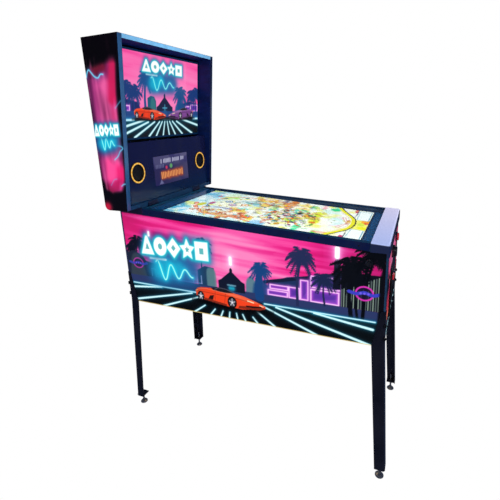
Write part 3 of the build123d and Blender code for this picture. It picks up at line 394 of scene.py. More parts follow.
def side_picture(u, v):
    """Cabinet side. u runs from the rear edge to the front, v is the height above the floor."""
    p = Picture(u, v, SKY_PINK)
    sky(p, (600, 960), (390, 150), 752)
    every = np.arange(p.u.size)
    p.lay(every, np.clip((p.u - 960) / 300, 0, 1) * 0.6, (168, 8, 100))
    palm(p, (82, 985), 58, (70, 800), NIGHT, 11, 17)
    palm(p, (40, 950), 44, (34, 800), NIGHT, 24)
    palm(p, (465, 1012), 54, (462, 790), (18, 50, 88), 12)
    side_buildings(p)
    beam(p, (609, 946), (15, 44))
    chapel(p, (608, 893), 795, 1.0, (12, 20, 46))
    p.line([(588, 826), (628, 826)], 7, (120, 170, 190), 0.8, 4)
    palm(p, (754, 925), 56, (748, 790), (8, 62, 122), 13, 17, 0.5)
    palm(p, (942, 1000), 72, (926, 770), (30, 40, 84), 14, 19, 0.12)
    palm(p, (1040, 912), 56, (1044, 800), (22, 34, 74), 15, 17)
    p.shape([(1078, 880), (1081, 1000), (1090, 1012), (1100, 1012), (1108, 998), (1108, 880)], NIGHT)
    beam(p, (1093, 1040), (19, 54))
    palm(p, (1150, 985), 84, (1153, 768), (5, 10, 22), 16, 17, 0.14)
    palm(p, (1172, 930), 60, (1178, 768), (5, 10, 22), 21, 17, 0.12)
    palm(p, (1240, 1042), 92, (1200, 768), (3, 7, 18), 17, 17, 0.1)
    neon_ring(p, (1204, 879), 34)
    neon_ring(p, (77, 873), 30, 0.75)
    for x in (158, 180, 402, 424, 448):
        p.line([(x, 812), (x, 852)], 4.5, (206, 190, 240), 0.8)
    p.line([(180, 812), (450, 812)], 4.5, (176, 170, 236), 0.7)
    p.line([(158, 852), (182, 852)], 4.5, (206, 190, 240), 0.8)
    vanish = (605, 806)
    spread = [(333, 752, 33, 664), (300, 757, 29, 735), (417, 735, 204, 652), (457, 699, 392, 652)]
    spread += [(517, 688, 483, 652), (554, 686, 540, 652), (592, 686, 586, 652), (622, 686, 631, 652)]
    spread += [(660, 686, 673, 652), (712, 682, 735, 652), (737, 718, 821, 652), (787, 746, 1012, 652)]
    spread += [(883, 752, 1233, 652), (908, 756, 1242, 725)]
    ends = [((x1, y1), (y0 - y1) / (vanish[1] - y1)) for _, y0, x1, y1 in spread]
    road(p, 762, vanish, ends, 6.5, 652)
    for x0, x1 in ((30, 415), (770, 1250)):
        p.glow([(x0, 760), (x1, 760)], 5, 5, (0, 150, 190), 0.8)
        p.line([(x0, 760), (x1, 760)], 5.5, (200, 246, 255))
    car(p, (408, 714), 367, ORANGE)
    wave(p, 190, 400, 792, 905)
    p.glow([(158, 910), (250, 910)], 10, 8, CYAN, 0.7)
    p.line([(158, 910), (250, 910)], 11, (236, 255, 255))
    emblem(p, 110, 496, 930, 1022)
    beam(p, (163, 1036), (10, 26))
    p.shape([(1256, 640), (1262, 960), (1300, 1100), (1300, 640)], (3, 6, 16), 0.95, 8)
    p.shape([(-5, 640), (-5, 1200), (10, 1200), (12, 640)], (22, 36, 72), 0.95, 3)
    # Painted shade: a dark navy wedge along the top edge behind the rail, under the backbox.
    p.shape([(-5, 1137), (150, 1127.5), (150, 1190), (-5, 1190)], (8, 16, 44), 0.96, 4)
    p.shape([(0, 640), (0, 655.5), (1290, 655.5), (1290, 640)], (222, 196, 120), 0.9, 2)
    return p.rgb


def lightning(picture, points, width, cover=1.0):
    """Thin jagged bolt of pale cyan light."""
    picture.halo(points, width, width * 2.5, (60, 90, 150), 0.5 * cover)
    picture.line(points, (width, width * 0.5), (96, 206, 236), cover)


def backbox_picture(u, v):
    """Backbox side. u runs from the rear edge to the front, v is the height above the floor."""
    p = Picture(u, v - BACKBOX_FOOT, (8, 3, 10))
    every = np.arange(p.u.size)
    p.shape([(0, 600), (60, 590), (110, 640), (172, 690), (150, 400), (140, 100), (90, 84), (4, 150)],
            (118, 20, 88), 1.0, 26)
    p.halo([(66, 420), (72, 540)], 34, 34, (184, 58, 134), 0.9)
    p.halo([(106, 410), (104, 550)], 30, 26, (226, 84, 152), 0.9)
    p.halo([(134, 420), (136, 500)], 10, 16, (206, 40, 108), 0.7)
    p.halo([(130, 500), (142, 570), (156, 636)], 18, 18, (204, 12, 82), 0.9)
    p.halo([(84, 250), (106, 286)], 30, 24, (240, 100, 168), 0.8)
    p.halo([(78, 160), (84, 225)], 50, 26, (250, 70, 148), 1.0)
    p.halo([(120, 130), (126, 190)], 20, 18, (232, 14, 104), 0.9)
    p.halo([(56, 108), (104, 128)], 18, 20, (176, 6, 84), 0.8)
    p.halo([(4, 280), (2, 590)], 4, 18, (66, 12, 62), 0.8)
    p.halo([(128, 250), (136, 340)], 6, 16, (92, 20, 62), 0.6)
    smoke = mist(p.u + 0.2 * p.v, p.v, 60, 150, 31)
    p.lay(every, np.clip(2.4 * (smoke - 0.5), 0, 1) * 0.5, (70, 8, 52))
    pale = mist(p.u, p.v, 16, 130, 44)
    p.lay(every, np.clip(2.6 * (pale - 0.55), 0, 1) * 0.4, (250, 110, 176))
    p.shape([(172, 800), (172, 640), (156, 520), (148, 400), (142, 300), (150, 240), (140, 150)]
            + [(118, 96), (60, 82), (-20, 120), (-20, -10), (230, -10), (230, 800)], (7, 5, 18), 1.0, 16)
    p.halo([(2, 6), (16, 16)], 14, 18, (205, 4, 58), 0.9)
    p.halo([(30, 614), (96, 628)], 10, 16, (116, 6, 44), 0.9)
    streak = np.clip(3 * (mist(p.u, p.v, 30, 120, 35) - 0.5), 0, 1)
    p.lay(every, np.clip((p.v - 640) / 40, 0, 1) * (1 - 0.75 * streak), (7, 2, 9))
    bolts = [([(0, 596), (9, 616), (20, 625), (34, 610), (48, 596), (66, 590), (82, 603), (96, 602)], 1.0)]
    bolts += [([(98, 240), (120, 256), (134, 276), (152, 290), (138, 300), (112, 302)], 0.75)]
    bolts += [([(118, 120), (130, 128), (144, 130)], 0.7), ([(140, 462), (158, 478), (176, 492)], 0.4)]
    bolts += [([(56, 122), (76, 146), (94, 152)], 0.3)]
    for bolt, cover in bolts:
        p.glow(smooth(bolt), 5, 6, (0, 120, 170), 0.7 * cover)
        p.line(smooth(bolt), 4.5, (110, 214, 244), cover)
    wave(p, 30, 108, 278, 344)
    p.line([(22, 344), (60, 344)], 8, (220, 255, 255), 0.9)
    emblem(p, 2, 142, 346, 394)
    return p.rgb


def backglass_picture(u, v):
    """Picture of the backbox display. u runs across from its middle, v up from its lower edge."""
    p = Picture(u, v, (250, 78, 160))
    sky(p, (20, 215), (420, 190), 80)
    p.lay(np.arange(p.u.size), 0.35, (255, 112, 182))
    for side in (-1, 1):
        p.shape([(side * a, b) for a, b in ((349, 90), (349, 168), (262, 180), (176, 166), (146, 90))], (24, 36, 98))
    for u0, u1, v1 in ((-345, -292, 156), (-284, -240, 150), (222, 268, 152), (276, 345, 162)):
        window(p, u0, u1, 126, v1, 4)
    for seed, crown in enumerate(((-318, 236), (-262, 226), (-204, 212), (330, 228), (286, 214))):
        palm(p, crown, 58, (crown[0], 110), (16, 54, 116), 40 + seed, 17)
    palm(p, (-120, 276), 60, (-124, 100), (20, 74, 136), 46, 19, 0.2)
    p.shape([(-110, 100), (-110, 188), (-84, 200), (-58, 196), (-44, 176), (-40, 100)], (20, 84, 112))
    p.shape(smooth([(-90, 100), (-86, 170), (-70, 192), (-50, 168), (-44, 100)]), (50, 118, 124), 0.8, 8)
    palm(p, (172, 218), 66, (168, 100), (10, 72, 130), 47, 19, 0.4)
    p.shape([(112, 100), (124, 150), (168, 196), (214, 150), (226, 100)], (10, 72, 130), 0.9, 12)
    chapel(p, (28, 196), 100, 1.0, (14, 24, 58))
    p.line([(10, 142), (46, 142)], 6, (90, 190, 220), 0.8, 4)
    p.line([(28, 132), (28, 158)], 5, (90, 190, 220), 0.8, 4)
    p.shape([(-349, 84), (-349, 126), (349, 126), (349, 84)], (30, 70, 130), 0.9, 4)
    ends = [((x, 0), 0.62) for x in (-345, -215, -108, -50, 8, 62, 118, 186, 286)]
    ends += [((-349, 40), 0.62), ((349, 44), 0.62)]
    road(p, 88, (35, 116), ends, 8.5, 0)
    for x0, x1 in ((-349, -214), (300, 349)):
        p.glow([(x0, 84), (x1, 84)], 8, 6, (0, 150, 190), 0.8)
        p.line([(x0, 84), (x1, 84)], 9, (190, 240, 255))
    p.line([(4, 84), (80, 84)], 7, (170, 220, 240), 0.8, 4)
    car(p, (302, 84), 246, VIOLET, -1)
    car(p, (-212, 84), 248, (236, 58, 16))
    wave(p, -76, 112, 222, 292)
    p.line([(-112, 300), (-30, 300)], 9, (226, 255, 255))
    emblem(p, -140, 190, 312, 366)
    return p.rgb


def front_picture(u, v):
    """Cabinet front. u runs across from the middle, v is the height above the floor."""
    p = Picture(u, v, (214, 20, 92))
    sky(p, (0, 1010), (260, 90), 640)
    every = np.arange(p.u.size)
    p.lay(every, np.clip((900 - p.v) / 160, 0, 1) * 0.9, (222, 62, 40))
    p.lay(every, np.clip((760 - p.v) / 90, 0, 1) * 0.9, (236, 130, 60))
    p.lay(every, np.clip(2 * (mist(p.u, p.v, 90, 26, 61) - 0.6), 0, 0.6), (250, 180, 120))
    palm(p, (-236, 905), 74, (-226, 700), (10, 10, 30), 62, 17)
    palm(p, (238, 930), 84, (226, 700), (10, 10, 30), 63, 17)
    palm(p, (196, 820), 48, (200, 700), (30, 12, 46), 64, 15)
    p.shape([(-295, 640), (-295, 742), (-200, 728), (200, 730), (295, 744), (295, 640)], (14, 18, 44))
    ends = [((x, 652), 0.5) for x in (-280, -200, -120, -50, 0, 50, 120, 200, 280)]
    road(p, 716, (0, 730), ends, 6, 652)
    edge = np.clip((np.abs(p.u) - 262) / 24, 0, 1)
    p.lay(every, edge * 0.9, (6, 8, 20))
    return p.rgb


def score_picture(u, v):
    """Score window: a dim violet screen with rows of plain lit bars. Same axes as the front."""
    p = Picture(u, v, (34, 30, 78))
    every = np.arange(p.u.size)
    p.lay(every, np.clip((p.u + 100) / 300, 0, 1) * 0.8, (82, 76, 108))
    p.lay(every, np.clip((p.v - 1330) / 50, 0, 0.5), (104, 104, 140))
    p.lay(every, np.clip(2 * (mist(p.u, p.v, 60, 40, 71) - 0.5), 0, 0.5), (24, 22, 84))
    draw = np.random.default_rng(72)
    for x in np.arange(-110, 112, 11.0):
        tall = draw.uniform(12, 19)
        if draw.uniform() > 0.12:
            p.line([(x, 1364 - tall / 2), (x + 2, 1364 + tall / 2)], 6.5, (206, 206, 230), 0.9, 4)
    for x in np.arange(-132, -60, 12.0):
        p.line([(x, 1332), (x + 2, 1346)], 6, (130, 134, 172), 0.7, 5)
    for x in np.arange(-90, 96, 14.0):
        tall = draw.uniform(18, 30)
        p.halo([(x, 1290 - tall / 2), (x, 1290 + tall / 2)], 9, 9, (186, 76, 40), 0.6)
    for x in np.arange(-90, 96, 14.0):
        tall = draw.uniform(18, 30)
        p.line([(x, 1290 - tall / 2), (x, 1290 + tall / 2)], 8, (246, 166, 92), 0.9, 4)
    p.oval((-46, 1328), (9, 9), (222, 50, 92), 0.9, 5)
    p.oval((-6, 1332), (13, 12), (98, 168, 100), 0.9, 5)
    p.shape([(-116, 1246), (-98, 1270), (-80, 1246)], (120, 122, 164), 0.8, 5)
    return p.rgb


TABLE_INKS = [(0, 140, 150), (250, 216, 0), (250, 140, 10), (230, 60, 20), (24, 26, 40), (110, 200, 40)]
TABLE_INKS += [(130, 30, 110), (255, 246, 214), (60, 180, 215), (244, 236, 50), (240, 190, 50)]
WARM_INKS = [(248, 134, 60), (236, 108, 50), (250, 200, 90), (196, 104, 60), (255, 244, 220), (244, 160, 76)]


def insert_lamps(picture, start, end, count, radius, ink):
    """Row of round lamp inserts drawn with dark rims and a small white spot off the middle of each."""
    for share in np.linspace(0, 1, count):
        place = np.array(start) + share * (np.array(end) - start)
        picture.oval(place, (radius * 1.35, radius * 1.35), (40, 34, 60))
        picture.oval(place, (radius, radius), ink)
        picture.oval(place + (radius * 0.2, radius * 0.2), (radius * 0.4,) * 2, WHITE, 0.8)


def bumper(picture, place, radius, ink):
    """Pop bumper seen from above."""
    for share, colour in ((1.25, (30, 26, 50)), (1.1, ink), (0.82, WHITE), (0.6, ink), (0.3, (255, 230, 90))):
        picture.oval(place, (radius * share, radius * share), colour)


def lane(picture, points, width, ink, edge=(24, 22, 44)):
    """Guide rail or ramp: a rounded band with dark edges and a pale middle."""
    line = smooth(points)
    picture.line(line, width * 1.35, edge)
    picture.line(line, width, ink)
    picture.line(line, width * 0.3, (255, 250, 226), 0.8)


def blotches(picture):
    """Broad soft patches of colour that the playfield's details sit on: place, reach and ink."""
    pale = [(730, 245, 75, 75, (250, 250, 214)), (180, 250, 60, 130, (240, 252, 240))]
    pale += [(150, 440, 60, 60, (250, 250, 226)), (390, 440, 60, 60, (246, 250, 226))]
    pale += [(150, 250, 40, 90, (206, 240, 238)), (205, 340, 40, 70, (255, 252, 210))]
    pale += [(200, 130, 46, 70, (220, 246, 236)), (620, 490, 200, 24, (206, 244, 246))]
    pale += [(900, 90, 70, 90, (112, 186, 224)), (930, 430, 60, 90, (60, 150, 190))]
    pale += [(890, 420, 36, 70, (110, 200, 236)), (600, 185, 60, 50, (168, 214, 220))]
    warm = [(240, 300, 26, 56, (236, 246, 20)), (245, 185, 26, 54, (216, 232, 40))]
    warm += [(465, 122, 36, 44, (250, 220, 20)), (424, 110, 22, 66, (240, 140, 26))]
    warm += [(560, 422, 44, 38, (252, 128, 54)), (610, 370, 38, 46, (250, 142, 72))]
    warm += [(655, 322, 26, 46, (250, 168, 112)), (700, 440, 86, 20, (226, 164, 104))]
    warm += [(560, 60, 66, 56, (248, 200, 86)), (545, 150, 30, 52, (240, 184, 104))]
    warm += [(632, 36, 22, 40, (226, 206, 66)), (426, 34, 26, 44, (226, 140, 46))]
    warm += [(520, 452, 15, 32, (244, 232, 40)), (320, 128, 18, 36, (240, 206, 70))]
    warm += [(296, 250, 16, 30, (240, 172, 56)), (460, 276, 16, 36, (244, 128, 40))]
    warm += [(20, 312, 26, 26, (240, 240, 40)), (16, 180, 20, 44, (240, 196, 50))]
    warm += [(345, 90, 44, 60, (250, 224, 130)), (320, 300, 12, 34, (236, 92, 70))]
    cold = [(345, 296, 20, 28, (6, 132, 136)), (372, 200, 16, 52, (60, 196, 170))]
    cold += [(474, 312, 18, 30, (40, 172, 176)), (486, 196, 20, 46, (60, 176, 196))]
    cold += [(290, 440, 16, 50, (96, 232, 170)), (470, 470, 38, 36, (110, 184, 236))]
    cold += [(300, 80, 20, 44, (70, 196, 170)), (620, 160, 38, 22, (92, 172, 184))]
    cold += [(190, 470, 22, 40, (110, 236, 90)), (188, 40, 26, 44, (50, 206, 136))]
    cold += [(345, 345, 34, 34, (196, 236, 90)), (330, 178, 24, 32, (130, 222, 120))]
    cold += [(770, 110, 40, 26, (178, 232, 100)), (785, 60, 44, 44, (222, 248, 214))]
    cold += [(700, 326, 70, 12, (170, 172, 204)), (620, 286, 34, 20, (130, 224, 204))]
    dark = [(266, 262, 14, 30, (124, 82, 10)), (338, 214, 14, 34, (34, 60, 52))]
    dark += [(405, 306, 20, 12, (4, 62, 54)), (388, 272, 15, 30, (152, 26, 92))]
    dark += [(410, 206, 12, 26, (130, 64, 60)), (530, 318, 18, 24, (88, 98, 90))]
    dark += [(516, 138, 15, 16, (60, 104, 96)), (602, 112, 12, 11, (54, 44, 44))]
    dark += [(476, 34, 16, 44, (124, 112, 126)), (176, 456, 34, 14, (236, 90, 34))]
    dark += [(92, 244, 10, 34, (176, 30, 40)), (84, 476, 10, 34, (196, 76, 110))]
    dark += [(82, 24, 10, 34, (196, 60, 96)), (545, 250, 18, 30, (216, 176, 160))]
    dark += [(300, 200, 10, 26, (120, 140, 60)), (650, 446, 12, 10, (156, 84, 50))]
    dark += [(250, 40, 12, 44, (240, 150, 160)), (448, 430, 10, 40, (226, 164, 150))]
    for x, y, wide, tall, ink in pale:
        picture.oval((x, y), (wide, tall), ink, 0.9, 0.6 * min(wide, tall))
    for x, y, wide, tall, ink in warm + cold + dark:
        deep = tuple(min(c, 1.25 * c - 56) if c < 225 else c for c in ink)
        picture.oval((x, y), (wide, tall), np.maximum(deep, 0), 0.9, 0.6 * min(wide, tall))


def figure(picture, draw, place, inks, kind):
    """One small outlined figure: an oval, a scrap, a bow or a ray."""
    angle, size = draw.uniform(0, 360), draw.uniform(5, 18)
    ink, cover = inks[draw.integers(len(inks))], draw.uniform(0.6, 1.0)
    turn = draw.uniform(40, 200)
    sizes = draw.uniform(0.35, 1.0, 5) * size
    outline = (92, 70, 58)
    if kind == 0:
        picture.oval(place, (sizes[0] * 1.1 + 1.5, sizes[1] * 1.1 + 1.5), outline, cover)
        picture.oval(place, (sizes[0] * 1.1, sizes[1] * 1.1), ink, cover)
    elif kind == 1:
        corners = [arc(place, far, angle + 72 * k, 0, 1)[0] for k, far in enumerate(sizes)]
        picture.line(corners + corners[:1], 3, outline, cover)
        picture.shape(corners, ink, cover)
    elif kind == 2:
        bow = arc(place, size, angle, angle + turn, 7)
        picture.line(bow, (sizes[0] + 2.5, 2), outline, cover)
        picture.line(bow, (sizes[0], 0.5), ink, cover)
    else:
        tip = arc(place, 2.2 * size, angle, 0, 1)[0]
        picture.line([place, tip], (sizes[0] + 2, 2), outline, cover)
        picture.line([place, tip], (sizes[0], 0.5), ink, cover)


def table_details(picture):
    """Small figures: a dense group in the middle, warm bands along both sides, a few elsewhere."""
    draw = np.random.default_rng(83)
    groups = [(190, (365, 270), (75, 95), TABLE_INKS), (130, (650, 410), (95, 40), WARM_INKS)]
    groups += [(90, (500, 70), (75, 40), WARM_INKS), (110, (560, 250), (220, 150), TABLE_INKS)]
    for count, middle, spread, inks in groups:
        for index in range(count):
            place = draw.normal(middle, spread)
            if 118 < place[0] < 925 and 14 < place[1] < 515:
                figure(picture, draw, place, inks, index % 4)


def lower_corner(picture, side):
    """Guide, rebound band, flipper and card on one side of the playfield's lower end."""

    def at(*points):
        return [(a, 262 + side * b) for a, b in points]

    picture.line(smooth(at((61, 0), (68, 62), (86, 112), (111, 152), (141, 202), (170, 262))), 18, (44, 44, 20))
    picture.line(smooth(at((67, 0), (74, 62), (93, 112), (118, 152), (148, 202), (177, 262))), 17, (236, 230, 10))
    picture.line(smooth(at((82, 0), (88, 56), (108, 106), (134, 150), (164, 200))), 4, (240, 196, 130), 0.8)
    picture.shape(at((112, 40), (166, 78), (160, 92), (106, 58)), (250, 226, 236), 0.9, 5)
    picture.line(at((236, 176), (330, 190)), 7, (90, 190, 60), 0.7)
    picture.line(at((102, 24), (122, 84)), (13, 18), (200, 60, 70), 0.8)
    picture.line(at((102, 24), (122, 84)), (7, 11), (255, 250, 240))
    picture.line(at((75, 262), (74, 180), (76, 100)), 4, (90, 96, 110))
    picture.shape(at((5, 78), (5, 244), (68, 244), (62, 90), (56, 78)), (120, 170, 190))
    picture.shape(at((9, 81), (9, 241), (65, 241), (59, 93), (54, 81)), (244, 255, 252))


def playfield_picture(u, v):
    """Playfield display. u runs from the front edge to the rear, v from the right side to the left."""
    p = Picture(u, v, (246, 252, 246))
    every = np.arange(p.u.size)
    p.lay(every, np.clip((p.u - 620) / 300, 0, 1) * 0.8, (150, 214, 232))
    blotches(p)
    for wide, tall, seed, ink in ((60, 44, 81, (255, 255, 250)), (46, 34, 82, (240, 238, 96))):
        p.lay(every, np.clip(2.6 * (mist(p.u, p.v, wide, tall, seed) - 0.62), 0, 0.7), ink)
    table_details(p)
    p.lay(every, np.clip(2.6 * (mist(p.u, p.v, 36, 26, 84) - 0.6), 0, 0.9), (255, 255, 250))
    p.line(smooth([(886, 300), (872, 330), (850, 370), (824, 404)]), 24, (130, 76, 60))
    p.line(smooth([(886, 300), (872, 330), (850, 370), (824, 404)]), 18, (236, 150, 112))
    p.line(arc((838, 352), (34, 46), -60, 130, 14), 7, (255, 252, 240))
    p.oval((848, 316), (18, 34), (200, 200, 10), 1.0, 8)
    p.oval((812, 268), (12, 28), (176, 50, 110), 0.9, 8)
    lane(p, [(690, 326), (740, 330), (790, 350), (820, 300)], 5, (90, 110, 190), (40, 40, 90))
    lane(p, [(505, 470), (600, 450), (760, 452), (800, 410)], 9, (250, 110, 30), (150, 70, 40))
    lane(p, [(420, 60), (640, 52), (780, 100), (820, 190)], 8, (250, 150, 40), (150, 90, 40))
    lane(p, [(470, 110), (620, 120), (700, 190), (690, 270)], 7, (40, 170, 170), (20, 90, 110))
    for place, ink in (((700, 250), (170, 110, 190)), ((640, 220), (250, 180, 110)), ((745, 200), (60, 140, 200))):
        bumper(p, place, 18, ink)
    insert_lamps(p, (230, 262), (420, 262), 6, 6, (255, 180, 20))
    insert_lamps(p, (300, 200), (520, 130), 6, 6, (226, 40, 60))
    insert_lamps(p, (300, 330), (540, 400), 6, 6, (40, 160, 210))
    p.shape([(0, 0), (0, 529), (76, 529), (76, 340), (60, 262), (76, 184), (76, 0)], (240, 250, 240))
    p.shape([(0, 184), (0, 340), (66, 340), (58, 262), (66, 184)], (244, 240, 90), 0.9, 8)
    p.oval((15, 308), (24, 22), (240, 236, 0), 1.0, 8)
    p.oval((14, 200), (22, 34), (246, 170, 20), 1.0, 8)
    p.oval((30, 252), (16, 26), (200, 226, 60), 0.8, 8)
    p.oval((10, 228), (10, 14), (226, 80, 40), 0.9, 6)
    for side in (-1, 1):
        lower_corner(p, side)
    return p.rgb


# ---------------------------------------------------------------- meshes
def add_mesh(name, body, material, vertices, faces, flat=False):
    """New piece that rides on a body."""
    mesh = bpy.data.meshes.new(name)
    mesh.from_pydata(vertices, [], faces)
    mesh.validate()
    if not flat:
        mesh.shade_smooth()
    piece = bpy.data.objects.new(name, mesh)
    bpy.context.scene.collection.objects.link(piece)
    mesh.materials.append(material)
    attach(piece, body)
    return piece


def linear(rgb):
    """Display colours up to 255 as scene-linear colours."""
    share = np.clip(np.asarray(rgb, float) / 255, 0, 1)
    return np.where(share <= 0.04045, share / 12.92, ((share + 0.055) / 1.055) ** 2.4)


def skin(name, body, material, grid, outward, rgb):
    """Thin closed skin over a grid of points, with its paint as a colour attribute."""
    columns, rows = grid.shape[:2]
    outward = np.array(outward, float)
    index = np.arange(columns * rows).reshape(columns, rows)
    across = grid[1, 0] - grid[0, 0]
    upwards = grid[0, 1] - grid[0, 0]
    quads = [index[:-1, :-1], index[1:, :-1], index[1:, 1:], index[:-1, 1:]]
    rim = np.concatenate([index[:, 0], index[-1, 1:], index[-2::-1, -1], index[0, -2:0:-1]])
    if np.dot(np.cross(across, upwards), outward) < 0:
        quads = quads[::-1]
        rim = rim[::-1]
    faces = np.stack([q.ravel() for q in quads], 1).tolist()
    back = columns * rows + np.arange(rim.size)
    following = np.roll(np.arange(rim.size), -1)
    faces += np.stack([rim, back, back[following], rim[following]], 1).tolist()
    faces.append(back[::-1].tolist())
    front = grid.reshape(-1, 3) + outward * SKIN * MM
    vertices = np.vstack([front, grid.reshape(-1, 3)[rim]])
    piece = add_mesh(name, body, material, vertices, faces, flat=True)
    paint = np.ones((len(vertices), 4), np.float32)
    paint[:, :3] = linear(np.vstack([rgb, rgb[rim]]))
    layer = piece.data.color_attributes.new("paint", "FLOAT_COLOR", "POINT")
    layer.data.foreach_set("color", paint.ravel())
    return piece


def node_points(node):
    return np.array([v.co for v in frame["nodes"][node].data.vertices])


def flat_face(node, facing):
    """Corner, two edge directions and the sizes of the outermost flat face towards a direction."""
    mesh = frame["nodes"][node].data
    facing = Vector(facing)
    faces = [f for f in mesh.polygons if f.normal.dot(facing) > 0.95]
    outermost = max(f.center.dot(facing) for f in faces)
    faces = [f for f in faces if f.center.dot(facing) > outermost - 0.08]
    normal = max(faces, key=lambda f: f.area).normal
    right = Vector((1, 0, 0))
    up = normal.cross(right)
    depth = max(f.center.dot(normal) for f in faces)
    corners = [mesh.vertices[i].co for f in faces for i in f.vertices]
    corners = [c for c in corners if c.dot(normal) > depth - 0.1 * MM]
    x0, x1 = min(c.dot(right) for c in corners), max(c.dot(right) for c in corners)
    y0, y1 = min(c.dot(up) for c in corners), max(c.dot(up) for c in corners)
    corner = right * x0 + up * y0 + normal * depth
    return corner, right, up, normal, x1 - x0, y1 - y0


def painted_face(name, body, slot, material, node, facing, picture, step):
    """Skin over a flat rectangular face. The picture gets places across from the middle and up."""
    corner, right, up, normal, width, height = flat_face(node, facing)
    columns, rows = (round(size / (step * MM)) + 1 for size in (width, height))
    across, upwards = np.linspace(0, width, columns), np.linspace(0, height, rows)
    a, b = np.meshgrid(across, upwards, indexing="ij")
    grid = np.array(corner) + a[..., None] * np.array(right) + b[..., None] * np.array(up)
    rgb = picture((a - width / 2) / MM, b / MM, width / MM, corner.z / MM)
    return skin(name, body, material, grid, normal, rgb)


def cabinet_side_skin(sign):
    """Printed side of the cabinet, under the rail and behind it up to the backbox, where a painted shade darkens its
    top edge.
    """
    low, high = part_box("cabinet_side_right")
    rail_low, rail_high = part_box("side_rail_right")
    ends = ((rail_low.y, rail_low.z), (rail_high.y, rail_high.z - RAIL_DEPTH * MM))
    slope = (ends[1][1] - ends[0][1]) / (ends[1][0] - ends[0][0])
    inset = 5 * MM
    behind = np.array([rail_high.y + 0.5 * MM, rail_high.y + 15 * MM, high.y - inset])
    along = np.arange(low.y + inset, rail_high.y, SIDE_GRID * MM)
    tail = np.arange(behind[0], behind[-1], SIDE_GRID * MM)
    y = np.concatenate([along, [rail_high.y], tail, behind[-1:]])
    top = np.minimum(ends[0][1] + slope * (y - ends[0][0]), BACKBOX_FOOT * MM)
    top[y > rail_high.y] = BACKBOX_FOOT * MM - 0.3 * MM
    rows = round((top.max() - low.z) / (SIDE_GRID * MM)) + 1
    share = np.linspace(0, 1, rows)
    z = low.z + share[None, :] * (top - low.z)[:, None]
    flat_y = np.repeat(y[:, None], rows, 1)
    grid = np.stack([np.full(z.shape, sign * high.x), flat_y, z], -1)
    rgb = side_picture((high.y - flat_y) / MM, z / MM)
    name = "side_art_right" if sign > 0 else "side_art_left"
    material = PRINTED
    return skin(name, "cabinet", material, grid, (sign, 0, 0), rgb)


def backbox_side_skin(sign):
    """Printed side of the backbox, with its leaning front edge and round lower rear corner."""
    low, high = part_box("backbox_side_right")
    points = node_points("backbox_side_right")
    foot_front = points[points[:, 2] < low.z + MM][:, 1].min()
    foot_rear = points[points[:, 2] < low.z + MM][:, 1].max()
    corner = high.y - foot_rear
    rows = round((high.z - low.z) / (FINE_GRID * MM)) + 1
    z = np.linspace(low.z, high.z, rows)
    front = foot_front + (low.y - foot_front) * (z - low.z) / (high.z - low.z)
    dip = np.clip(corner - (z - low.z), 0, corner)
    rear = high.y - (corner - np.sqrt(corner**2 - dip**2))
    columns = round((high.y - low.y) / (FINE_GRID * MM)) + 1
    share = np.linspace(0, 1, columns)[:, None]
    y = rear[None, :] + share * (front - rear)[None, :]
    flat_z = np.repeat(z[None, :], columns, 0)
    grid = np.stack([np.full(y.shape, sign * high.x), y, flat_z], -1)
    rgb = backbox_picture((high.y - y) / MM, flat_z / MM)
    name = "backbox_art_right" if sign > 0 else "backbox_art_left"
    return skin(name, "backbox", PRINTED, grid, (sign, 0, 0), rgb)


def sweep(name, body, material, loops, closed=False):
    """Surface through rings of points, closed at its ends or joined end to end."""
    count = len(loops[0])
    vertices = [tuple(p) for loop in loops for p in loop]
    pairs = len(loops) if closed else len(loops) - 1
    faces = []
    for i in range(pairs):
        j = (i + 1) % len(loops)
        for k in range(count):
            m = (k + 1) % count
            faces.append((i * count + k, i * count + m, j * count + m, j * count + k))
    if not closed:
        faces.append(tuple(range(count))[::-1])
        last = (len(loops) - 1) * count
        faces.append(tuple(last + k for k in range(count)))
    return add_mesh(name, body, material, vertices, faces)


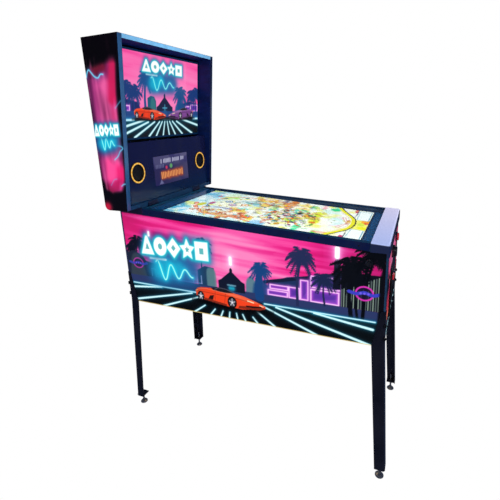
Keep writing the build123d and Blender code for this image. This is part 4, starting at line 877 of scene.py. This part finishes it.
# ---------------------------------------------------------------- materials
class Look:
    """Material round one Principled shader, with short ways to drive it from noise."""

    def __init__(self, name, colour, rough, metal=0.0, **sockets):
        self.material = bpy.data.materials.new(name)
        self.material.use_nodes = True
        self.tree = self.material.node_tree
        self.shader = self.tree.nodes["Principled BSDF"]
        self.feed("Base Color", (*colour, 1))
        self.feed("Roughness", rough)
        self.feed("Metallic", metal)
        for socket, value in sockets.items():
            self.feed(socket.replace("_", " ").title().replace("Ior", "IOR"), value)
        self.place = self.node("ShaderNodeTexCoord").outputs["Object"]

    def feed(self, socket, value):
        self.put(self.shader.inputs[socket], value)

    def put(self, socket, value):
        if isinstance(value, bpy.types.NodeSocket):
            self.tree.links.new(value, socket)
        else:
            socket.default_value = value

    def node(self, kind, settings=(), **inputs):
        made = self.tree.nodes.new(kind)
        for key, value in dict(settings).items():
            setattr(made, key, value)
        for key, value in inputs.items():
            self.put(made.inputs[key], value)
        return made

    def math(self, operation, a, b=0.0, clamp=False):
        made = self.tree.nodes.new("ShaderNodeMath")
        made.operation = operation
        made.use_clamp = clamp
        self.put(made.inputs[0], a)
        self.put(made.inputs[1], b)
        return made.outputs[0]

    def axis(self, name):
        return self.node("ShaderNodeSeparateXYZ", Vector=self.place).outputs[name]

    def noise(self, scale, detail=3.0, stretch=(1, 1, 1)):
        """Noise whose spots are about 1/scale metres, divided by the stretch."""
        mapped = self.node("ShaderNodeMapping", Vector=self.place, Scale=stretch)
        made = self.node("ShaderNodeTexNoise", Vector=mapped.outputs[0], Scale=scale, Detail=detail)
        return made.outputs["Fac"]

    def between(self, factor, low, high, start=0.35, end=0.65):
        """Value that runs from low to high as the factor passes from start to end."""
        made = self.node("ShaderNodeMapRange", Value=factor)
        for socket, value in zip(("From Min", "From Max", "To Min", "To Max"), (start, end, low, high)):
            made.inputs[socket].default_value = value
        return made.outputs[0]

    def blend(self, factor, first, second):
        made = self.node("ShaderNodeMix", {"data_type": "RGBA"}, Factor=factor)
        for socket, value in ((made.inputs[6], first), (made.inputs[7], second)):
            self.put(socket, (*value, 1) if isinstance(value, tuple) else value)
        return made.outputs[2]

    def facing_up(self):
        """1 on faces that look up, 0 on upright ones."""
        normal = self.node("ShaderNodeNewGeometry").outputs["Normal"]
        upright = self.node("ShaderNodeSeparateXYZ", Vector=normal).outputs["Z"]
        return self.between(upright, 0, 1, 0.45, 0.75)

    def bump(self, height, depth, strength=0.6):
        """Relief from a height, whose full range is the depth in metres."""
        made = self.node("ShaderNodeBump", Height=height, Strength=strength, Distance=depth)
        self.feed("Normal", made.outputs["Normal"])


def printed(name):
    """Printed vinyl under a thin satin laminate with a faint orange peel."""
    look = Look(name, (1, 1, 1), 0.4, coat_weight=0.08, coat_roughness=0.05)
    paint = look.node("ShaderNodeAttribute", {"attribute_name": "paint"}).outputs["Color"]
    grain = look.between(look.noise(900, 2), 0.97, 1.0)
    look.feed("Base Color", look.blend(grain, (0.02, 0.02, 0.03), paint))
    look.feed("Roughness", look.between(look.noise(18), 0.34, 0.46))
    look.feed("Specular IOR Level", 0.12)
    look.bump(look.noise(240, 1), 0.0002, 0.12)
    return look.material


def lit_screen(name, strength, specular=0.35):
    """Display that glows with its paint behind a smooth front."""
    look = Look(name, (0.01, 0.01, 0.012), 0.12, emission_strength=strength)
    paint = look.node("ShaderNodeAttribute", {"attribute_name": "paint"}).outputs["Color"]
    look.feed("Emission Color", paint)
    look.feed("Roughness", look.between(look.noise(30), 0.1, 0.16))
    look.feed("Specular IOR Level", specular)
    return look.material


def powder_coat(name, colour, bright, rough=0.22, coat=0.5, top=None, shine=0.5):
    """Gloss powder coat: fine orange peel, faint tone changes, paler worn spots, and, where a colour for the top is
    given, that colour on faces that look up as painted light.
    """
    look = Look(name, colour, rough, coat_weight=coat, coat_roughness=0.08)
    look.feed("Specular IOR Level", shine)
    tone = look.blend(look.between(look.noise(9), 0, 0.5), colour, bright)
    worn = look.between(look.noise(160, 6), 0, 0.6, 0.68, 0.8)
    tone = look.blend(worn, tone, bright)
    # Painted light: faces that look up get the colour for the top.
    if top:
        tone = look.blend(look.facing_up(), tone, top)
    look.feed("Base Color", tone)
    look.feed("Roughness", look.between(look.noise(40), rough * 0.8, rough * 1.35))
    look.bump(look.noise(700, 2), 0.0003, 0.25)
    return look.material


def lacquer(name, colour, bright, rough=0.4, shine=0.25):
    """Lacquered board with a soft grain and dust-sized specks."""
    look = Look(name, colour, rough, coat_weight=0.6 * shine, coat_roughness=0.2)
    look.feed("Specular IOR Level", shine)
    grain = look.noise(60, 5, (1, 0.25, 1))
    look.feed("Base Color", look.blend(look.between(grain, 0, 0.8), colour, bright))
    look.feed("Roughness", look.between(look.noise(25), rough * 0.8, rough * 1.25))
    look.bump(look.noise(420, 3), 0.0004, 0.3)
    return look.material


def plywood(name):
    """Raw plywood: long grain and dark pores."""
    look = Look(name, (0.5, 0.36, 0.2), 0.65)
    rings = look.noise(14, 6, (5, 0.5, 5))
    tone = look.blend(look.between(rings, 0, 1, 0.3, 0.7), (0.42, 0.28, 0.15), (0.66, 0.5, 0.31))
    pores = look.between(look.noise(260, 2, (1, 0.08, 1)), 0, 0.7, 0.6, 0.72)
    look.feed("Base Color", look.blend(pores, tone, (0.25, 0.15, 0.08)))
    look.bump(look.noise(260, 3, (1, 0.08, 1)), 0.0004, 0.4)
    return look.material


def brushed(name, colour, rough=0.3, stretch=(0.02, 1, 1)):
    """Brushed metal: long hair lines."""
    look = Look(name, colour, rough, 1.0)
    lines = look.noise(1500, 2, stretch)
    dark = tuple(0.78 * c for c in colour)
    look.feed("Base Color", look.blend(look.between(lines, 0, 0.7), colour, dark))
    look.feed("Roughness", look.between(look.noise(900, 2, stretch), rough * 0.8, rough * 1.4))
    look.bump(lines, 0.0001, 0.3)
    return look.material


def lockdown_bar_painted_sheen():
    """Brushed hair lines over painted light: a pale lavender painted sheen on the top that grows paler towards +X,
    and painted shade in the rails' pale navy on the ends and skirts.
    """
    look = Look("bar_metal", (0.56, 0.6, 0.84), 0.38)
    low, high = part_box("lockdown_bar")
    across = look.between(look.axis("X"), 0, 1, low.x, high.x)
    # Painted sheen: pale lavender on the top, paler towards +X.
    steel = look.blend(across, (0.46, 0.57, 0.98), (0.8, 0.76, 1.0))
    lines = look.between(look.noise(1500, 2, (0.02, 1, 1)), 0, 0.25)
    steel = look.blend(lines, steel, (0.44, 0.46, 0.84))
    top = look.facing_up()
    # Faces that look up get the painted sheen; the ends and skirts get painted shade in pale navy.
    look.feed("Base Color", look.blend(top, NAVY_PALE, steel))
    look.feed("Metallic", look.math("MULTIPLY", top, 0.12))
    look.feed("Roughness", look.between(look.noise(900, 2, (0.02, 1, 1)), 0.3, 0.5))
    return look.material


def trim_painted_light(name, colour, edge, highlight_from_x=None):
    """Trim strip whose colour is painted light, sheen on some strips and shade on others; beyond the given x its
    outer edge gets the second colour as a painted highlight.
    """
    look = Look(name, colour, 0.4)
    pale = tuple(min(1.0, 1.25 * c + 0.004) for c in colour)
    tone = look.blend(look.between(look.noise(30, 4), 0, 0.8), colour, pale)
    # Painted highlight along the outer edge.
    if highlight_from_x is not None:
        outer = look.between(look.axis("X"), 0, 1, highlight_from_x, highlight_from_x + 0.6 * MM)
        tone = look.blend(outer, tone, edge)
    look.feed("Base Color", tone)
    look.feed("Roughness", look.between(look.noise(300), 0.3, 0.5))
    return look.material


def plated(name, colour, rough=0.3):
    """Plated steel with crystal spots and handling marks."""
    look = Look(name, colour, rough, 0.95)
    cells = look.node("ShaderNodeTexVoronoi", Vector=look.place, Scale=180.0).outputs["Color"]
    grey = look.node("ShaderNodeRGBToBW", Color=cells).outputs[0]
    dark = tuple(0.72 * c for c in colour)
    look.feed("Base Color", look.blend(look.between(grey, 0, 0.6, 0.2, 0.8), colour, dark))
    look.feed("Roughness", look.between(look.noise(120, 4), rough * 0.7, rough * 1.6))
    return look.material


def plastic(name, colour, rough=0.45, grain=500, depth=0.0003, shine=0.5):
    """Moulded plastic with a fine leather texture."""
    look = Look(name, colour, rough)
    pale = tuple(1.15 * c + 0.002 for c in colour)
    look.feed("Base Color", look.blend(look.between(look.noise(35, 4), 0, 0.7), colour, pale))
    look.feed("Roughness", look.between(look.noise(80), rough * 0.85, rough * 1.2))
    look.feed("Specular IOR Level", shine)
    look.bump(look.noise(grain, 2), depth, 0.35)
    return look.material


def button_plastic(name, colour, deep):
    """Glossy moulded plastic, deeper in tone in random patches, with hair scratches."""
    look = Look(name, colour, 0.15, coat_weight=0.7, coat_roughness=0.03, subsurface_weight=0.05)
    look.feed("Base Color", look.blend(look.between(look.noise(70), 0, 0.7), colour, deep))
    look.feed("Roughness", look.between(look.noise(500, 2, (1, 1, 0.1)), 0.1, 0.3))
    return look.material


def glass():
    """Clear toughened glass with a few dust specks; daylight passes straight through it."""
    look = Look("clear_glass", (0.97, 1.0, 0.99), 0.0, transmission_weight=1.0, ior=1.45)
    look.feed("Roughness", look.between(look.noise(300, 5), 0.0, 0.12, 0.68, 0.8))
    path = look.node("ShaderNodeLightPath")
    open_to = look.math("MAXIMUM", path.outputs["Is Shadow Ray"], path.outputs["Is Diffuse Ray"])
    look.feed("Alpha", look.math("SUBTRACT", 1.0, open_to))
    return look.material


def amber_ring():
    """Lit diffuser ring with a brighter spot over each lamp, and black lips inside and outside."""
    look = Look("amber_ring", (0.02, 0.012, 0.01), 0.3, emission_strength=1.0)
    low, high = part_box("speaker_rings")
    x = look.math("SUBTRACT", look.math("ABSOLUTE", look.axis("X")), high.x - RING_RADIUS * MM)
    z = look.math("SUBTRACT", look.axis("Z"), (low.z + high.z) / 2)
    turn = look.math("MULTIPLY", look.math("ARCTAN2", z, x), RING_LAMPS)
    spot = look.between(look.math("COSINE", turn), 0, 1, -1, 1)
    amber = look.blend(spot, (0.85, 0.38, 0.02), (1.0, 0.62, 0.13))
    square = look.math("ADD", look.math("MULTIPLY", x, x), look.math("MULTIPLY", z, z))
    off_middle = look.math("ABSOLUTE", look.math("SUBTRACT", look.math("SQRT", square), 45.2 * MM))
    lit = look.between(off_middle, 1, 0, 3.0 * MM, 4.0 * MM)
    look.feed("Emission Color", look.blend(lit, (0.004, 0.002, 0.001), amber))
    look.bump(look.noise(600, 2), 0.0002, 0.3)
    return look.material


def loudspeaker(name, centres, along):
    """Paper cone with a rubber surround and a dust cap, told apart by the distance to the axis."""
    look = Look(name, (0.03, 0.03, 0.035), 0.6)
    first, second = [look.axis(a) for a in ("XYZ".replace(along, ""))]
    reach = None
    for a, b in centres:
        x, y = look.math("SUBTRACT", first, a), look.math("SUBTRACT", second, b)
        square = look.math("ADD", look.math("MULTIPLY", x, x), look.math("MULTIPLY", y, y))
        this = look.math("SQRT", square)
        reach = this if reach is None else look.math("MINIMUM", reach, this)
    ribs = look.math("SINE", look.math("MULTIPLY", reach, 2 * math.pi / 0.004))
    cap = look.between(reach, 1, 0, 0.0125, 0.0135)
    edge = look.between(reach, 0, 1, 0.034, 0.036)
    tone = look.blend(look.noise(300, 4), (0.008, 0.01, 0.026), (0.02, 0.022, 0.045))
    tone = look.blend(edge, look.blend(cap, tone, (0.02, 0.02, 0.025)), (0.012, 0.012, 0.014))
    look.feed("Base Color", tone)
    look.feed("Roughness", look.between(look.math("ADD", cap, edge, True), 0.8, 0.3, 0, 1))
    look.bump(ribs, 0.0006, 0.5)
    return look.material


def circuit_board(name):
    """Green solder mask with pale traces; the terminal blocks on top are grey."""
    look = Look(name, (0.01, 0.16, 0.05), 0.3)
    traces = look.node("ShaderNodeTexBrick", Vector=look.place, Scale=90.0).outputs["Fac"]
    mask = look.blend(traces, (0.01, 0.16, 0.05), (0.04, 0.3, 0.1))
    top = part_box("control_board")[0].z + 0.0118
    above = look.between(look.axis("Z"), 0, 1, top, top + 0.0002)
    look.feed("Base Color", look.blend(above, mask, (0.05, 0.05, 0.055)))
    look.bump(traces, 0.0001, 0.3)
    return look.material


def speaker_panel_gloss(name):
    """Deep blue acrylic with smears that show in its reflections."""
    look = Look(name, (0.006, 0.009, 0.045), 0.08, coat_weight=0.2, coat_roughness=0.02)
    low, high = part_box("speaker_panel")
    rise = look.between(look.axis("Z"), 1, 0, low.z, low.z + 0.4 * (high.z - low.z))
    look.feed("Base Color", look.blend(rise, (0.006, 0.008, 0.045), (0.001, 0.014, 0.06)))
    look.feed("Roughness", look.between(look.noise(12, 4, (1, 1, 0.3)), 0.04, 0.2))
    look.feed("Specular IOR Level", 0.35)
    return look.material


RING_RADIUS, RING_LAMPS = 50.0, 16
NAVY, NAVY_PALE = (0.001, 0.005, 0.042), (0.0015, 0.01, 0.064)
BLACK, BLACK_PALE = (0.004, 0.004, 0.007), (0.014, 0.014, 0.02)
PRINTED = printed("printed_vinyl")


def cad_looks():
    """One finish for each of the record's material slots."""
    rings_low, rings_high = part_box("speaker_rings")
    ring_x = rings_high.x - RING_RADIUS * MM
    ring_z = (rings_low.z + rings_high.z) / 2
    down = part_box("cabinet_speaker")
    down_centre = ((down[0].x + down[1].x) / 2, (down[0].y + down[1].y) / 2)
    return {
        "cabinet_art_board": lacquer("navy_board", (0.001, 0.028, 0.08), (0.002, 0.04, 0.11)),
        "black_board": lacquer("black_board", (0.002, 0.004, 0.012), (0.004, 0.009, 0.024), 0.55),
        "cabinet_rear_shelf": lacquer("blue_board", (0.001, 0.03, 0.1), (0.002, 0.05, 0.14), 0.55),
        "backbox_top": lacquer("blue_ceiling", (0.002, 0.01, 0.08), (0.003, 0.015, 0.11), 0.7, 0.02),
        "backbox_floor": lacquer("blue_floor", (0.001, 0.03, 0.1), (0.002, 0.05, 0.14), 0.55),
        "raw_board": plywood("raw_board"),
        "backbox_board": lacquer("navy_backbox", (0.001, 0.008, 0.065), (0.002, 0.014, 0.11), 0.55, 0.12),
        # The rails' faces that look up get teal navy as painted light, the playfield screen's glow on them.
        "rail_metal": powder_coat("rail_metal", NAVY, NAVY_PALE, 0.35, 0.04, (0.001, 0.032, 0.085), 0.12),
        "bar_metal": lockdown_bar_painted_sheen(),
        "leg_metal": powder_coat("leg_metal", (0.002, 0.002, 0.006), (0.008, 0.008, 0.016), 0.18),
        "zinc_steel": plated("zinc_steel", (0.62, 0.63, 0.66)),
        "hinge_leaves_lower": powder_coat("hinge_dark", NAVY, NAVY_PALE, 0.5, 0.1),
        "hinge_leaves_upper": powder_coat("hinge_dark_upper", NAVY, NAVY_PALE, 0.5, 0.1),
        "black_bolt": plated("black_bolt", (0.05, 0.05, 0.055), 0.35),
        "foot_metal": plated("foot_metal", (0.5, 0.5, 0.5), 0.25),
        "clear_glass": glass(),
        "channel_plastic": plastic("channel_plastic", (0.002, 0.06, 0.14), shine=0.2),
        "display_case_plastic": plastic("display_case_plastic", (0.002, 0.03, 0.1), shine=0.05),
        "playfield_picture": plastic("screen_edge", (0.02, 0.02, 0.025), 0.2),
        "backglass_picture": plastic("screen_edge_upright", (0.02, 0.02, 0.025), 0.2),
        "score_picture": plastic("score_case", (0.012, 0.01, 0.03), 0.25),
        # The bezel's bright teal blue is painted light: the playfield screen's glow on it.
        "bezel_black": plastic("bezel_black", (0.0005, 0.08, 0.24), 0.4, 700, 0.0002, 0.05),
        "panel_gloss": speaker_panel_gloss("panel_gloss"),
        "amber_ring": amber_ring(),
        "speaker_black": loudspeaker("speaker_cones", ((ring_x, ring_z), (-ring_x, ring_z)), "Y"),
        "cabinet_speaker": loudspeaker("bass_cone", (down_centre,), "Z"),
        "button_black": button_plastic("button_black", (0.008, 0.008, 0.012), (0.002, 0.002, 0.004)),
        "button_red": button_plastic("button_red", (0.75, 0.02, 0.05), (0.5, 0.008, 0.02)),
        "switch_plastic": plastic("switch_plastic", (0.03, 0.03, 0.034)),
        "door_metal": powder_coat("door_metal", BLACK, (0.02, 0.02, 0.024), 0.45, 0.1),
        "lock_metal": brushed("lock_metal", (0.7, 0.7, 0.72), 0.2),
        "case_metal": powder_coat("case_metal", (0.03, 0.03, 0.034), (0.05, 0.05, 0.055), 0.4, 0.0),
        "supply_metal": brushed("supply_metal", (0.6, 0.61, 0.63), 0.35, (1, 0.02, 1)),
        "board_green": circuit_board("board_green"),
        "fan_plastic": plastic("fan_plastic", (0.012, 0.012, 0.013)),
    }


def finish_cad():
    """Give every CAD node its slot's finish."""
    looks = cad_looks()
    for entry in frame["record"]["subparts"]:
        node, slot = entry["node"], entry["material_slot"]
        piece = frame["nodes"][node]
        material = looks[node] if node in looks else looks[slot]
        if not piece.material_slots:
            piece.data.materials.append(material)
        for holder in piece.material_slots:
            holder.material = material


# ---------------------------------------------------------------- added pieces
def round_loop(centre, axis_u, axis_v, radius, count=10):
    angles = [2 * math.pi * k / count for k in range(count)]
    return [centre + radius * (math.cos(a) * axis_u + math.sin(a) * axis_v) for a in angles]


def wire_ring(name, body, material, centre, normal, radius, wire):
    """Closed ring of round wire."""
    normal = Vector(normal)
    first = normal.orthogonal().normalized()
    second = normal.cross(first)
    loops = []
    for k in range(64):
        a = 2 * math.pi * k / 64
        out = math.cos(a) * first + math.sin(a) * second
        loops.append(round_loop(Vector(centre) + radius * out, out, normal, wire, 8))
    return sweep(name, body, material, loops, closed=True)


def fan_guard(material):
    """Wire finger guard over the fan hole: three rings on four arms with screw eyes."""
    low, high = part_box("exhaust_fan_frame")
    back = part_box("cabinet_rear_panel")[1].y
    centre = Vector(((low.x + high.x) / 2, back + 3.4 * MM, (low.z + high.z) / 2))
    for index, radius in enumerate((18, 34, 50)):
        name = f"fan_guard_ring_{index + 1}"
        wire_ring(name, "cabinet", material, centre, (0, 1, 0), radius * MM, 1.0 * MM)
    for index in range(4):
        a = math.radians(45 + 90 * index)
        out = Vector((math.cos(a), 0, math.sin(a)))
        side = Vector((0, 1, 0)).cross(out)
        start, end = centre + 14 * MM * out, centre + 66 * MM * out
        path = [start, centre + 56 * MM * out, end - Vector((0, 2.2 * MM, 0))]
        loops = [round_loop(p, side, Vector((0, 1, 0)), 1.1 * MM, 8) for p in path]
        sweep(f"fan_guard_arm_{index + 1}", "cabinet", material, loops)
        eye = end - Vector((0, 2.2 * MM, 0)) + 4 * MM * out
        name = f"fan_guard_eye_{index + 1}"
        wire_ring(name, "cabinet", material, eye, (0, 1, 0), 4 * MM, 1.1 * MM)


def dome_bolt(name, body, material, place, normal, radius):
    """Round-headed bolt with a low dome and a rolled rim."""
    normal = Vector(normal)
    first = normal.orthogonal().normalized()
    second = normal.cross(first)
    profile = [(1.0, 0.0), (1.0, 0.12), (0.92, 0.26), (0.7, 0.42), (0.4, 0.53), (0.1, 0.56)]
    loops = [round_loop(Vector(place) + normal * radius * h, first, second, radius * r, 20) for r, h in profile]
    return sweep(name, body, material, loops)


def door_frame_bolts(material):
    """Six dome bolts through the flange of the coin door frame."""
    low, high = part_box("coin_door_frame")
    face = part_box("cabinet_front_panel")[0].y - 2.5 * MM
    inset = 6.2 * MM
    spots = [(x, z) for x in (low.x + inset, high.x - inset) for z in (low.z + 14 * MM, high.z - 14 * MM)]
    spots += [(0, low.z + inset), (0, high.z - inset)]
    for index, (x, z) in enumerate(spots):
        name = f"door_frame_bolt_{index + 1}"
        dome_bolt(name, "cabinet", material, (x, face, z), (0, -1, 0), 4.6 * MM)


def rail_screws(material):
    """Small screws along the outer flange of both rails."""
    low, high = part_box("side_rail_right")
    rise = (high.z - low.z - RAIL_DEPTH * MM) / (high.y - low.y)
    for side, sign in (("left", -1), ("right", 1)):
        for index in range(6):
            y = low.y + (0.04 + 0.184 * index) * (high.y - low.y)
            z = low.z + 0.5 * RAIL_DEPTH * MM + rise * (y - low.y)
            name = f"rail_screw_{side}_{index + 1}"
            place = (sign * high.x, y, z)
            dome_bolt(name, "cabinet", material, place, (sign, 0, 0), 3.0 * MM)


def grille(name, x, z, y, radius, material):
    """Perforated speaker grille: a disc with rings of round holes, made as a real mesh."""
    columns = int(radius / (2.2 * MM))
    pitch = radius / columns
    centres = []
    for i in range(-columns, columns + 1):
        for j in range(-columns, columns + 1):
            a = (i + 0.5 * (j % 2)) * pitch
            b = j * pitch * 0.866
            if math.hypot(a, b) < radius:
                centres.append((a, b))
    vertices, faces = [], []
    thick, hole = 0.5 * MM, pitch * 0.34
    for a, b in centres:
        base = len(vertices)
        for depth in (0, thick):
            for size in (pitch * 0.578, hole):
                for k in range(6):
                    t = math.radians(30 + 60 * k)
                    vertices.append((x + a + size * math.cos(t), y + depth, z + b + size * math.sin(t)))
        for k in range(6):
            m = (k + 1) % 6
            faces.append((base + k, base + m, base + 6 + m, base + 6 + k))
            faces.append((base + 12 + m, base + 12 + k, base + 18 + k, base + 18 + m))
            faces.append((base + 6 + k, base + 6 + m, base + 18 + m, base + 18 + k))
            faces.append((base + m, base + k, base + 12 + k, base + 12 + m))
    return add_mesh(name, "backbox", material, vertices, faces, flat=True)


def speaker_grilles(material):
    low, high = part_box("speaker_rings")
    ring_x = high.x - RING_RADIUS * MM
    ring_z = (low.z + high.z) / 2
    for name, x in (("speaker_grille_left", -ring_x), ("speaker_grille_right", ring_x)):
        grille(name, x, ring_z, high.y + 1.0 * MM, 41.5 * MM, material)


def edge_trim():
    """Slim trim along the front edges of the backbox sides and top, coloured with painted light: a mid-blue painted
    sheen on the left, painted shade in navy on the right with a pale painted highlight along its outer edge, and a
    pale painted sheen on the top.
    """
    low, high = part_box("backbox_side_right")
    points = node_points("backbox_side_right")
    foot_front = points[points[:, 2] < low.z + MM][:, 1].min()
    up = Vector((0, low.y - foot_front, high.z - low.z)).normalized()
    out = Vector((1, 0, 0)).cross(up)
    if out.y > 0:
        out = -out
    foot = Vector((0, foot_front, low.z))
    crown = Vector((0, low.y, high.z))
    section = [(-1, -0.1), (-1, 0.5), (-0.8, 0.9), (-0.4, 1.1), (0.4, 1.1), (0.8, 0.9), (1, 0.5), (1, -0.1)]
    # This pale blue is painted light: the painted sheen of the top trim and the painted highlight on the right
    # trim's outer edge.
    pale = (0.16, 0.46, 0.8)

    def strip(name, material, start, end, across, half):
        loops = []
        for place in (start, start.lerp(end, 0.5), end):
            loops.append([place + across * half * a + out * b * MM for a, b in section])
        sweep(name, "backbox", material, loops)

    x_axis = Vector((1, 0, 0))
    board = 25 * MM
    # Painted light: the left trim's mid-blue is a painted sheen, the right trim's navy is painted shade.
    paints = {
        "left": trim_painted_light("trim_painted_sheen_blue", (0.012, 0.08, 0.22), pale),
        "right": trim_painted_light("trim_painted_shade_navy", (0.0015, 0.007, 0.05), pale, high.x - 3 * MM),
    }
    for side, sign in (("left", -1), ("right", 1)):
        middle = Vector((sign * (high.x - board / 2), 0, 0))
        ends = (foot + middle + up * MM, crown + middle - up * MM)
        strip(f"backbox_trim_{side}", paints[side], *ends, x_axis, board / 2 - 0.4 * MM)
    half_top = 8.6 * MM
    level = crown - up * (half_top + MM)
    reach = Vector((high.x - board - 0.3 * MM, 0, 0))
    strip("backbox_trim_top", trim_painted_light("trim_painted_sheen_pale", pale, pale), level - reach, level + reach, up, half_top)


def add_skins():
    for sign in (-1, 1):
        cabinet_side_skin(sign)
        backbox_side_skin(sign)
    lit_play = lit_screen("playfield_glow", 1.6, 0.0)
    lit_back = lit_screen("backglass_glow", 1.0)
    lit_score = lit_screen("score_glow", 0.95)

    def playfield(u, v, width, foot):
        return playfield_picture(v, width / 2 - u)

    def backglass(u, v, width, foot):
        return backglass_picture(u, v)

    def upright(picture):
        return lambda u, v, width, foot: picture(u, v + foot)

    face = ("playfield_display_screen", (0, 0, 1))
    painted_face("playfield_art", "cabinet", "playfield_picture", lit_play, *face, playfield, FINE_GRID)
    face = ("backbox_display_screen", (0, -1, 0))
    painted_face("backglass_art", "backbox", "backglass_picture", lit_back, *face, backglass, FINE_GRID)
    face = ("score_display", (0, -1, 0))
    painted_face("score_art", "backbox", "score_picture", lit_score, *face, upright(score_picture), 2.0)


def front_skin():
    """Printed front of the cabinet, with the coin door opening left out of it."""
    low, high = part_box("cabinet_front_panel")
    door_low, door_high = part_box("coin_door_frame")
    inset = 5 * MM
    gap = 8 * MM
    columns = np.linspace(low.x + inset, high.x - inset, round((high.x - low.x) / (3 * MM)))
    bands = (
        ("front_art_low", low.z, door_low.z + gap, columns),
        ("front_art_high", door_high.z - gap, high.z - 2 * MM, columns),
        ("front_art_left", door_low.z + gap, door_high.z - gap, np.linspace(low.x + inset, door_low.x + gap, 49)),
        ("front_art_right", door_low.z + gap, door_high.z - gap, np.linspace(door_high.x - gap, high.x - inset, 49)),
    )
    for name, z0, z1, x in bands:
        z = np.linspace(z0, z1, round((z1 - z0) / (3 * MM)) + 1)
        a, b = np.meshgrid(x, z, indexing="ij")
        grid = np.stack([a, np.full(a.shape, low.y), b], -1)
        rgb = front_picture(a / MM, b / MM)
        skin(name, "cabinet", PRINTED, grid, (0, -1, 0), rgb)


# ---------------------------------------------------------------- stage
def tent_white(tree, end, kind):
    """White to the eye and to scattered light, dim blue in reflections, as in a tented product shot."""
    path = tree.nodes.new("ShaderNodeLightPath")
    rays = ((None, (1, 1, 1, 1), 1.12), ("Is Camera Ray", (1, 1, 1, 1), 1.0))
    rays += (("Is Glossy Ray", (0.35, 0.5, 1, 1), 0.09),)
    plain = None
    for ray, colour, strength in rays:
        shade = tree.nodes.new(kind)
        shade.inputs["Color"].default_value = colour
        shade.inputs["Strength"].default_value = strength
        if ray:
            mix = tree.nodes.new("ShaderNodeMixShader")
            tree.links.new(path.outputs[ray], mix.inputs[0])
            tree.links.new(plain.outputs[0], mix.inputs[1])
            tree.links.new(shade.outputs[0], mix.inputs[2])
            shade = mix
        plain = shade
    tree.links.new(plain.outputs[0], end)


def world():
    """Plain white surroundings on all sides."""
    made = bpy.data.worlds.new("studio")
    bpy.context.scene.world = made
    made.use_nodes = True
    made.cycles.sampling_method = "NONE"
    tent_white(made.node_tree, made.node_tree.nodes["World Output"].inputs["Surface"], "ShaderNodeBackground")


def floor():
    """Plain white floor that runs on into the surroundings without a line."""
    mesh = bpy.data.meshes.new("floor")
    half = 30.0
    corners = [(-half, -half, 0), (half, -half, 0), (half, half, 0), (-half, half, 0)]
    mesh.from_pydata(corners, [], [(0, 1, 2, 3)])
    white = bpy.data.materials.new("floor_white")
    white.use_nodes = True
    white.node_tree.nodes.clear()
    end = white.node_tree.nodes.new("ShaderNodeOutputMaterial").inputs["Surface"]
    tent_white(white.node_tree, end, "ShaderNodeEmission")
    white.cycles.emission_sampling = "NONE"
    mesh.materials.append(white)
    plane = bpy.data.objects.new("floor", mesh)
    bpy.context.scene.collection.objects.link(plane)


def area_light(name, place, target, size, power, colour=(1, 1, 1)):
    data = bpy.data.lights.new(name, "AREA")
    data.shape, data.size, data.size_y = "RECTANGLE", *size
    data.energy, data.color = power, colour
    lamp = bpy.data.objects.new(name, data)
    bpy.context.scene.collection.objects.link(lamp)
    lamp.location = place
    lamp.rotation_euler = (Vector(target) - Vector(place)).to_track_quat("-Z", "Y").to_euler()


def camera():
    """Standing eye to the machine's front left, turned in slightly and rolled by two degrees."""
    place = Vector((-1.6893, -0.7331, 1.5630))
    yaw, pitch, roll = (math.radians(a) for a in (22.98, -15.16, -1.96))
    ahead = Vector((math.cos(yaw) * math.cos(pitch), math.sin(yaw) * math.cos(pitch), math.sin(pitch)))
    right = ahead.cross(Vector((0, 0, 1))).normalized()
    up = right.cross(ahead)
    turned_right = right * math.cos(roll) + up * math.sin(roll)
    turned_up = up * math.cos(roll) - right * math.sin(roll)
    data = bpy.data.cameras.new("camera")
    data.sensor_width = 36
    data.lens = 26.83
    data.shift_x, data.shift_y = -0.0299, -0.0612
    eye = bpy.data.objects.new("camera", data)
    bpy.context.scene.collection.objects.link(eye)
    turn = Matrix((turned_right, turned_up, -ahead)).transposed()
    eye.matrix_world = Matrix.Translation(place) @ turn.to_4x4()
    bpy.context.scene.camera = eye


def stage():
    world()
    floor()
    area_light("key", (-3.4, -1.0, 3.6), (0, 0, 0.9), (1.6, 1.6), 8)
    area_light("beside_bar", (3.6, -1.3, 2.1), (0, -0.7, 1.0), (0.8, 1.2), 6, (0.82, 0.84, 1.0))
    camera()
    settings = bpy.context.scene.view_settings
    settings.view_transform = "Standard"
    settings.look = "None"


finish_cad()
add_skins()
front_skin()
BOLT_BLACK = plated("dome_bolt_black", (0.09, 0.09, 0.1), 0.3)
fan_guard(plated("guard_wire", (0.55, 0.56, 0.58), 0.3))
door_frame_bolts(BOLT_BLACK)
rail_screws(BOLT_BLACK)
speaker_grilles(plastic("grille_black", (0.006, 0.006, 0.01), 0.35))
edge_trim()
stage()
